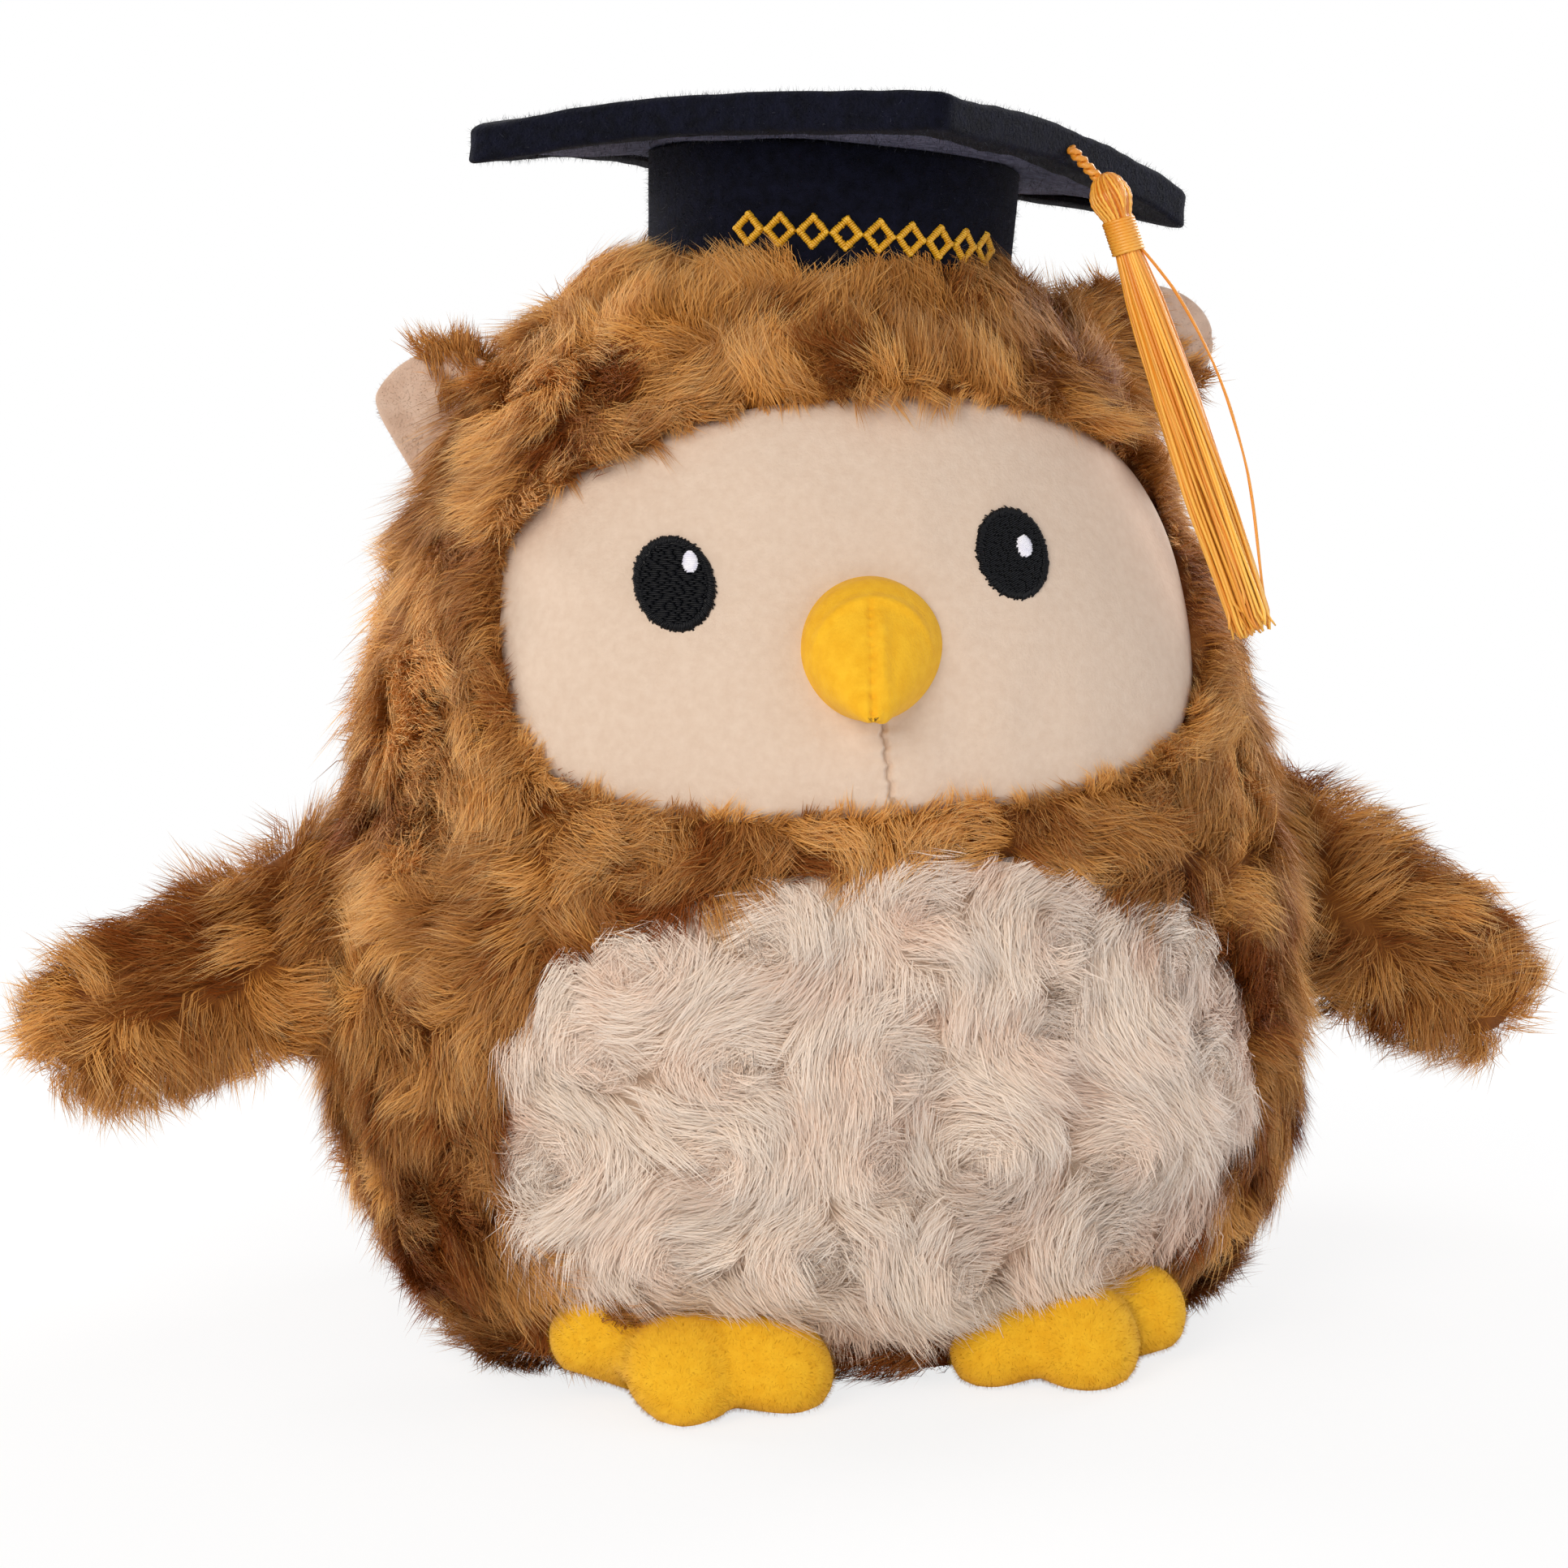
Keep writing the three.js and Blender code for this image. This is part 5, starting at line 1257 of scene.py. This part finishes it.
def makeEar(side):
    own, name = ears[side], "ear_" + side
    rng = np.random.default_rng(500 + own["sign"])
    sign, sink = own["sign"], math.tan(math.radians(own["sink"]))
    seat = dict(place=own["place"], turn=spin("y", -sign * own["slope"]) @ spin("z", sign * ears["turn"]))
    turn = np.linspace(0, np.pi, 60)
    out = own["height"] * np.sin(turn) ** ears["roundness"]
    # the lower edge is drawn in by the trim's share
    drawn = np.where(turn > np.pi / 2, 1 - own["trim"] * np.sin(turn) ** 0.5, 1)
    up = ears["rootLength"] / 2 * np.cos(turn) * drawn
    outline = resample(np.vstack([np.stack([sign * out, up - out * sink], -1), [[0, 0]]]), 110)
    centre = (sign * own["height"] * ears["middle"], outline[:, 1].mean())
    points, faces = padForm(outline, centre, ears["lining"], 0, ears["cup"], -ears["gap"], 24)
    along = points[:, 2] + 0.35 * sign * points[:, 0]
    crease = ears["foldDepth"] * bell(along - ears["foldAt"], ears["foldWidth"])
    points[:, 1] += crease * (points[:, 1] < ears["cup"])
    lining = makePiece("ear_lining_" + side + "_minky", placed(points, seat), faces, liningMinky, name)
    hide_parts("ear_lining_" + side)
    growNap("ear_lining_" + side + "_nap", name, placed(points, seat), faces, 5000, liningNap, rng)

    def behindBare(places):
        # where the ear is folded over, so that its brown side shows: beyond a slanting line, or near the head
        if side == "right":
            return (0.68 * places[:, 0] + 0.73 * places[:, 2] > own["bare"]) & (places[:, 1] < ears["cup"])
        return (places[:, 0] < own["bare"]) & (places[:, 1] < ears["cup"])

    lay = np.array([own["lay"][0], 0, own["lay"][1]])
    roots, normals = scatter(points, faces, earRimFur["spacing"], rng, behindBare)
    growFur("ear_fold_" + side + "_pile", name, roots, normals,
            lambda p: np.tile([0.0, -1.0, 0.0], (len(p), 1)), lambda p, n: np.tile(lay, (len(p), 1)),
            earRimFur, 0.42, rng, seat)
    points, faces = padForm(outline, centre, 0, ears["fur"] * 0.45, ears["cup"], ears["gap"], 24)
    ground = makePiece("ear_back_" + side + "_ground", placed(points, seat), faces, brownGround, name)
    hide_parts("ear_back_" + side)
    edge = np.array([centre[0], 0, centre[1]])

    def normalAt(places):
        apart = places - edge
        return unit(np.stack([apart[..., 0] * 0.05, 0 * apart[..., 1] + 1, apart[..., 2] * 0.05], -1))

    def outward(places):
        # the share of the way from the head to the ear's outer edge
        return np.abs(places[:, 0]) / own["height"]

    def flowAt(places, normals):
        # up the ear, fanning out a little, and back towards the head along the outer edge
        rim = ramp(outward(places), 0.4, 0.3)[:, None]
        up = 0.2 * (places - edge) + np.array([sign * 1.0, 0, 5.0])
        return up * (1 - rim) + np.array([-sign * 5.0, 0, 0]) * rim

    def growAt(places):
        # short towards the outer edge, so that the lining's rim stays clear
        return 1 - 0.5 * ramp(outward(places), 0.45, 0.35)

    roots, normals = scatter(points, faces, earFur["spacing"], rng,
                             lambda p: (p[:, 1] > ears["gap"] + 0.1) & (outward(p) < 0.93))
    growFur("ear_back_" + side + "_pile", name, roots, normals, normalAt, flowAt, earFur,
            0.42 + 0.15 * lumps(roots, 9, 51), rng, seat, growAt=growAt)


for side in ("left", "right"):
    makeEar(side)
print("wings and ears made")


feet = dict(
    height=17.8, length=46, centreY=-58, rim=6, palmLength=15.5, palmInset=7, heel=0.8, power=3.2, valley=0.3,
    blend=7,
    # how far the underside draws up between the toes, and where on the outer side the foot leaves the floor
    clear=4.6, riseFrom=5.0, riseOver=15.0,
    left=dict(x=31.0, halfWidth=21.5, toes=((-13, 7, 8.6), (1.5, 12, 9.6), (15.5, 3, 6.4)), outward=1,
              rise=2.5),
    right=dict(x=-34.0, halfWidth=24.0, toes=((-17, -4, 7.4), (-4, 11.5, 9.9), (13, 11, 9.6)), outward=-1,
               rise=5.0),
    # rings of the underside: their shares of the outline and of the rim's height
    under=((0.995, 0.8), (0.975, 0.55), (0.95, 0.3), (0.9, 0.1), (0.82, 0.02), (0.5, 0.02), (0.2, 0.02)),
    lowest=0.1, voxel=1.6, pressure=4.0, most=1.0, frames=20,
)


def footEdge(own, turn):
    # on a bearing, how far the outline lies from the foot's middle: its palm, or the toe's disc that reaches
    # furthest. A toe is round underneath too, so the second row is r - sqrt(r ^ 2 - aside ^ 2), which clears
    # the floor at its sides
    x, y = np.cos(turn), np.sin(turn)
    palmLength = np.where(y > 0, feet["length"] / 2 * feet["heel"], feet["palmLength"])
    edge = 1 / np.hypot(x / (own["halfWidth"] - feet["palmInset"]), y / palmLength)
    under = np.where(y > 0, 0, feet["clear"])
    for across, ahead, radius in own["toes"]:
        inside = np.maximum(radius ** 2 - (across * y + ahead * x) ** 2, 0)
        reach = np.where(inside > 0, across * x - ahead * y + np.sqrt(inside), 0)
        under = np.where(reach > edge, np.minimum(radius - np.sqrt(inside), feet["clear"]), under)
        edge = np.maximum(edge, reach)
    return np.array([edge, under])


def puff(points, faces, held):
    # a closed skin remeshed to small squares and blown up as cloth; held points stay, and none moves further
    # than most
    piece = makePiece("puffing", points, faces, yellowVelour, None)
    remesh = piece.modifiers.new("squares", "REMESH")
    remesh.mode, remesh.voxel_size = "VOXEL", feet["voxel"] * mm
    graph = bpy.context.evaluated_depsgraph_get()
    piece.data = bpy.data.meshes.new_from_object(piece.evaluated_get(graph))
    piece.modifiers.clear()
    count = len(piece.data.vertices)
    start = np.empty(count * 3)
    piece.data.vertices.foreach_get("co", start)
    start = start.reshape(-1, 3) / mm
    group = piece.vertex_groups.new(name="held")
    group.add(np.flatnonzero(held(start)).tolist(), 1.0, "REPLACE")
    cloth = piece.modifiers.new("cloth", "CLOTH")
    cloth.settings.use_pressure = True
    cloth.settings.uniform_pressure_force = feet["pressure"]
    cloth.settings.vertex_group_mass = "held"
    cloth.settings.effector_weights.gravity = 0
    for number in range(feet["frames"]):
        bpy.context.scene.frame_set(number + 1)
    graph = bpy.context.evaluated_depsgraph_get()
    mesh = bpy.data.meshes.new_from_object(piece.evaluated_get(graph))
    blown = np.empty(count * 3)
    mesh.vertices.foreach_get("co", blown)
    moved = blown.reshape(-1, 3) / mm - start
    moved *= np.minimum(1, feet["most"] / np.maximum(np.linalg.norm(moved, axis=1, keepdims=True), 1e-6))
    mesh.calc_loop_triangles()
    triangles = np.empty(len(mesh.loop_triangles) * 3, np.int32)
    mesh.loop_triangles.foreach_get("vertices", triangles)
    bpy.data.objects.remove(piece)
    bpy.context.scene.frame_set(1)
    return start + moved, [triangles.reshape(-1, 3).astype(int)]


def makeFoot(side):
    own = feet[side]
    rng = np.random.default_rng(600 + int(own["halfWidth"]))
    turn = np.linspace(0, 2 * np.pi, 180, endpoint=False)
    shifts = np.radians(feet["blend"]) * np.array([-1, -0.5, 0, 0.5, 1])
    edge, under = sum(footEdge(own, turn + shift) for shift in shifts) / len(shifts)
    whole = 1 / np.hypot(np.cos(turn) / own["halfWidth"], np.sin(turn) / (feet["length"] / 2))
    valley = np.where(np.sin(turn) > 0, 0, np.maximum(0, whole - edge) * feet["valley"])

    def dome(share):
        return feet["rim"] + (feet["height"] - feet["rim"]) * math.sqrt(max(0, 1 - share ** feet["power"]))

    def ring(share, height):
        x = own["x"] + edge * share * np.cos(turn)
        y = feet["centreY"] + edge * share * np.sin(turn)
        if height > feet["rim"]:
            z = np.maximum(feet["rim"], height - valley * share ** 2)
        else:
            z = height + under * share ** 3 * (1 - height / feet["rim"])
        away = ramp(own["outward"] * (x - own["x"]), feet["riseFrom"], feet["riseOver"])
        return np.stack([x, y, z + own["rise"] * smoothStep(away)], -1)

    rings = [ring(share, dome(share)) for share in np.sin(np.linspace(0.08, np.pi / 2, 22))]
    rings += [ring(share, feet["rim"] * height) for share, height in feet["under"]]
    top, bottom = [(own["x"], feet["centreY"], height) for height in (feet["height"], feet["lowest"])]
    points, faces = closedForm(np.array(rings), top, bottom)
    points, faces = puff(points, faces, lambda p: (p[:, 2] < 1.2) | (p[:, 1] > -50))
    # nothing sinks into the floor
    points[:, 2] = np.maximum(points[:, 2], feet["lowest"])
    foot = makePiece("foot_" + side + "_velour", points, faces, yellowVelour, "owl")
    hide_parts("foot_upper_" + side, "foot_sole_" + side, "foot_stuffing_" + side)
    growNap("foot_" + side + "_nap", "owl", points, faces, 26000, velourNap, rng,
            lambda p: (p[:, 2] > 0.8) & (p[:, 1] < -48))


for side in ("left", "right"):
    makeFoot(side)
print("feet made")


cap = dict(
    place=capPlace, turn=spin("y", 7.5) @ spin("x", -8.2) @ spin("z", 3.5), radius=33.0, foot=31.8, wall=1.8,
    low=-16, top=20, rows=30, columns=192,
    halfDiagonal=67.0, thickness=6.8, droop=6.8, flatHalf=20, droopPower=1.8, corner=2.0, edge=1.1,
    # rings drawn in further than this keep their shape and only shrink, to nothing at the middle
    deepest=40, middleInset=47.4, shrinkOver=7.4,
    stitchPitch=0.4, stroke=1.3, diamonds=9, pitch=5.9, tall=6.2, chainHeight=4.6, chainLift=0.15,
    chainThread=0.46,
)


def boardDrop(x):
    # how far the board hangs down towards its side corners
    beyond = np.maximum(0, np.abs(x) - cap["flatHalf"]) / (cap["halfDiagonal"] - cap["flatHalf"])
    return cap["droop"] * beyond ** cap["droopPower"]


def squareRing(inset, count=256):
    # a square standing on its corner, drawn in by inset: |x| + |y| = h, with arcs of the corner radius
    half = cap["halfDiagonal"] - inset * math.sqrt(2)
    turn = np.arange(count) * 2 * np.pi / count + np.pi / 4
    side = half / math.sqrt(2)
    radius = min(cap["corner"], side * 0.6)
    bearing = np.stack([np.cos(turn), np.sin(turn)], -1)
    plain = bearing * side / np.abs(bearing).max(-1, keepdims=True)
    inner = np.clip(plain, -(side - radius), side - radius)
    rounded = inner + unit(plain - inner + 1e-9) * radius
    c, n = math.cos(np.pi / 4), math.sin(np.pi / 4)
    return rounded @ np.array([[c, -n], [n, c]]).T


def boardRings(profile):
    # each (inset, height) of the profile is one ring, hung down at the side corners
    rings = []
    for inset, height in profile:
        if inset < cap["deepest"]:
            flat = squareRing(inset)
        else:
            flat = squareRing(cap["deepest"]) * (cap["middleInset"] - inset) / cap["shrinkOver"]
        rings.append(np.stack([flat[:, 0], flat[:, 1], height - boardDrop(flat[:, 0])], -1))
    return np.array(rings)


def bandRadius(height):
    # the band is a little narrower at its foot
    return cap["foot"] + (cap["radius"] - cap["foot"]) * (height - cap["low"]) / (cap["top"] - cap["low"])


def makeCap():
    rng = np.random.default_rng(700)
    top, low, edge = cap["top"] + cap["thickness"], cap["top"], cap["edge"]
    bend = np.linspace(0, np.pi / 2, 7)
    # the board's profile: over its top, round its edge twice, and a little way in underneath
    profile = [(inset, top) for inset in np.linspace(46, edge + 1, 16)]
    profile += [(edge - edge * math.sin(b), top - edge + edge * math.cos(b)) for b in bend]
    profile += [(0.12, (top + low) / 2)]
    profile += [(edge - edge * math.cos(b), low + edge - edge * math.sin(b)) for b in bend]
    profile += [(4, low - 0.05), (7, low + 0.1), (7.4, low + 0.9)]
    board, boardFaces = closedForm(boardRings(profile), (0, 0, top))
    board[:, 2] += 0.28 * lumps(board, 26, 71) + 0.1 * lumps(board, 8, 72)
    boardFaces = [facing(board, part, board - np.array([0, 0, (top + low) / 2])) for part in boardFaces]
    felt = makePiece("cap_board_felt", placed(board, cap), boardFaces, blackFelt, "owl")
    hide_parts("cap_board_top_felt")
    profile = [(inset, low + 0.25 + 0.35 * (inset < 8)) for inset in np.linspace(6.6, 46, 18)]
    under, underFaces = closedForm(boardRings(profile), None, (0, 0, low + 0.25))
    under[:, 2] += 0.25 * lumps(under, 24, 73)
    underFaces = [facing(under, part, 0 * under - np.array([0, 0, 1.0])) for part in underFaces]
    # the underside wears the felt painted paler: painted light from the floor
    lower = makePiece("cap_board_lower_felt", placed(under, cap), underFaces, feltPaintedFloorLight, "owl")
    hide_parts("cap_board_under_felt")
    # band: an outer and an inner wall, with the felt's slow waves
    rows, columns = cap["rows"], cap["columns"]
    turn = np.linspace(0, 2 * np.pi, columns, endpoint=False)
    heights = np.linspace(cap["low"], cap["top"], rows)[:, None]
    outer = onCircle(bandRadius(heights), turn, heights)
    outer[..., 2] = np.minimum(outer[..., 2], cap["top"] - 0.05 - boardDrop(outer[..., 0]))
    waves = lumps(outer.reshape(-1, 3), 22, 74).reshape(outer.shape[:2])
    outer[..., :2] *= (1 + 0.006 * waves)[..., None]
    inner = outer[::-1] * np.array([(cap["radius"] - cap["wall"]) / cap["radius"]] * 2 + [1])
    walls = np.concatenate([outer, inner]).reshape(-1, 3)
    out = walls * [1, 1, 0] * np.repeat([1, -1], rows * columns)[:, None]
    wallFaces = facing(walls, gridFaces(2 * rows + 1, columns, closed=True) % len(walls), out)
    band = makePiece("cap_band_felt", placed(walls, cap), [wallFaces], blackFelt, "owl")
    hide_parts("cap_crown_band")
    growNap("cap_board_fuzz", "owl", placed(board, cap), boardFaces, 18000, feltFuzz, rng)
    growNap("cap_lower_fuzz", "owl", placed(under, cap), underFaces, 7000, feltFuzz, rng)
    growNap("cap_band_fuzz", "owl", placed(outer.reshape(-1, 3), cap),
            [gridFaces(rows, columns, closed=True)], 7000, feltFuzz, rng)


def makeChain():
    # diamonds drawn with a satin stroke: each side of a diamond is a row of short stitches laid across it
    rng = np.random.default_rng(710)
    slanted = math.hypot(cap["pitch"], cap["tall"])
    count = int(slanted / 2 / cap["stitchPitch"])
    share = (np.arange(count) + 0.5) / count
    starts, ends = [], []
    for number in range(cap["diamonds"]):
        middle = (number - (cap["diamonds"] - 1) / 2) * cap["pitch"]
        for signX in (-1, 1):
            for signZ in (-1, 1):
                x = middle + signX * cap["pitch"] / 2 * (1 - share)
                z = signZ * cap["tall"] / 2 * share
                way = np.array([signX * cap["tall"], signZ * cap["pitch"]]) / slanted
                half = cap["stroke"] / 2 + rng.normal(0, 0.05, (count, 1))
                centre = np.stack([x, z], -1) - way * cap["stroke"] * 0.35
                starts.append(centre - way * half)
                ends.append(centre + way * half)
    starts, ends = np.concatenate(starts), np.concatenate(ends)

    def onBand(flat):
        angle = flat[:, 0] / cap["radius"]
        height = cap["chainHeight"] + flat[:, 1]
        radius = bandRadius(height) + cap["chainLift"]
        points = np.stack([radius * np.sin(angle), -radius * np.cos(angle), height], -1)
        outward = np.stack([np.sin(angle), -np.cos(angle), 0 * angle], -1)
        return placed(points, cap), outward @ cap["turn"].T

    fromPoints, outward = onBand(starts)
    toPoints, _ = onBand(ends)
    chain = stitchThreads("cap_embroidery_satin", fromPoints, toPoints, outward, cap["chainThread"], 0.55,
                          goldThread)
    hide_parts("cap_embroidery")


makeCap()
makeChain()
print("cap made")


tassel = dict(
    cordPlace=(46.8981, -25.5766, 206.9681), cordTurn=spin("x", -12) @ spin("y", -40), cordLength=5.0,
    ply=0.56, plyOffset=0.5, plyPitch=3.4, plyTwist=-3.0,
    place=(51.9761, -26.8348, 201.0486), turn=spin("x", -12) @ spin("y", -14.446),
    # the knot under the head's threads: its radius at each depth
    depths=(-2.6, -2.3, -1.4, 0, 1.0, 2.2, 3.6, 5.2, 6.0),
    radii=(0.0, 1.2, 2.2, 2.9, 3.25, 3.3, 2.9, 2.25, 2.2),
    headThreads=30, neck=2.5, neckFrom=5.6, neckLength=6.0, wraps=11, wrapThread=0.33,
    skirtFrom=11.8, skirtLength=71.0, skirtRadius=4.8,
    skirtShares=((0.0, 0.45), (0.14, 0.70), (0.4, 0.88), (0.66, 0.94), (1.0, 0.82)),
    threads=130, threadWidth=0.58, bows=(2.6, 4.6, 1.6),
)


def tubes(name, body, lines, radii, sides, twist=2.6):
    # round threads along many centre lines (count, rings, 3), with a plied bulge that winds along the thread
    count, rings = lines.shape[:2]
    ahead = unit(np.gradient(lines, axis=1))
    sideA = unit(np.cross(ahead, [0.21, 0.93, 0.3]))
    sideB = np.cross(ahead, sideA)
    steps = np.linalg.norm(np.diff(lines, axis=1), axis=2)
    along = np.concatenate([np.zeros((count, 1)), np.cumsum(steps, axis=1)], 1)
    turn = np.arange(sides) * 2 * np.pi / sides
    reach = radii[..., None] * (1 + 0.16 * np.cos(2 * (turn[None, None] - (along * twist)[..., None])))
    ring = sideA[:, :, None] * (reach * np.cos(turn))[..., None]
    ring = ring + sideB[:, :, None] * (reach * np.sin(turn))[..., None]
    points = (lines[:, :, None] + ring).reshape(-1, 3)
    # U is the thread's own shade and V runs along it
    cell = shadeCell(np.random.default_rng(count).uniform(0.1, 1, count))
    u, v = cell[:, None, None] + 0.006 * np.cos(turn), np.linspace(0.02, 0.98, rings)[None, :, None]
    uv = np.stack(np.broadcast_arrays(u, v), -1).reshape(-1, 2)
    return makePiece(name, points, tubeFaces(count, rings, sides), tasselRayon, body, uv)


def makeTassel():
    rng = np.random.default_rng(800)
    cordFrame = dict(place=tassel["cordPlace"], turn=tassel["cordTurn"])
    seat = dict(place=tassel["place"], turn=tassel["turn"])
    # cord: two plies wound round each other, from inside the felt down to the head
    depth = np.linspace(-1.6, tassel["cordLength"] + 1.4, 60)
    wind = depth * 2 * np.pi / tassel["plyPitch"]
    plies = np.stack([onCircle(tassel["plyOffset"], wind + phase, -depth) for phase in (0, np.pi)])
    cord = tubes("tassel_cord_plies", "tassel_hanger", placed(plies, cordFrame),
                 np.full(plies.shape[:2], tassel["ply"]), 12, tassel["plyTwist"])
    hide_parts("tassel_cord")
    # head: threads gathered over a knot, from the top down to the neck
    levels = np.linspace(-2.5, 5.9, 40)[:, None]
    turn = np.arange(48) * 2 * np.pi / 48
    rings = onCircle(np.interp(levels, tassel["depths"], tassel["radii"]), turn, -levels)
    points, faces = closedForm(rings, (0, 0, 2.6), (0, 0, -5.9))
    makePiece("tassel_head_core", placed(points, seat), faces, tasselRayon, "tassel")
    count = tassel["headThreads"]
    start = np.linspace(0, 2 * np.pi, count, endpoint=False)[:, None] + rng.normal(0, 0.05, (count, 1))
    levels = np.linspace(-2.45, 6.6, 34)[None]
    lean = start + 0.05 * levels * rng.normal(1, 0.8, (count, 1))
    width = np.interp(levels, tassel["depths"], tassel["radii"]) + 0.12 + 0.08 * rng.normal(size=(count, 1))
    lines = onCircle(width, lean, -levels)
    head = tubes("tassel_head_threads", "tassel", placed(lines, seat),
                 np.full(lines.shape[:2], tassel["threadWidth"] / 2), 7)
    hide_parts("tassel_head")
    # neck: one thread wound round and round
    wind = np.linspace(0, tassel["wraps"] * 2 * np.pi, tassel["wraps"] * 24)
    down = wind / (2 * np.pi * tassel["wraps"]) * tassel["neckLength"]
    line = onCircle(tassel["neck"] + 0.12, wind, -tassel["neckFrom"] - down)
    wrap = tubes("tassel_wrap_thread", "tassel", placed(line, seat)[None],
                 np.full((1, len(line)), tassel["wrapThread"]), 8)
    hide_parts("tassel_wrap")
    # skirt: loose threads that spread from the neck and hang on, three of them bowing out at the side
    count, steps = tassel["threads"], 60
    share = np.linspace(0, 1, steps)[None]
    depthAt, radiusAt = np.array(tassel["skirtShares"]).T
    spread = np.interp(share, depthAt, radiusAt) * tassel["skirtRadius"]
    # roots are spread evenly over a disc by the golden angle
    place = np.sqrt((np.arange(count) + 0.5) / count)[:, None] * 0.93
    bearing = (np.arange(count) * 2.39996)[:, None] + 0.5 * share + 0.12 * rng.normal(size=(count, 1)) * share
    wave = 0.34 * np.sin(share * rng.uniform(5, 12, (count, 1)) + rng.uniform(0, 6.28, (count, 1))) * share
    bow = np.zeros((count, 1))
    bow[-len(tassel["bows"]):, 0] = tassel["bows"]
    length = tassel["skirtLength"] * (1 - 0.09 * rng.random((count, 1)) ** 2)
    lines = onCircle(place * spread, bearing, -(tassel["skirtFrom"] - 1.2) - length * share)
    fray = np.clip((share - 0.97) / 0.03, 0, 1) * rng.normal(0, 0.5, (count, 1))
    lines[..., 0] += wave + bow * np.sin(np.pi * share ** 0.8) ** 1.2 + fray
    lines[..., 1] += 0.6 * wave + fray * 0.5
    radii = np.full((count, steps), tassel["threadWidth"] / 2) * rng.uniform(0.9, 1.1, (count, 1))
    radii[:, -2:] *= np.array([0.85, 0.5])
    skirt = tubes("tassel_skirt_threads", "tassel", placed(lines, seat), radii, 7)
    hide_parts("tassel_skirt")


makeTassel()
print("tassel made")
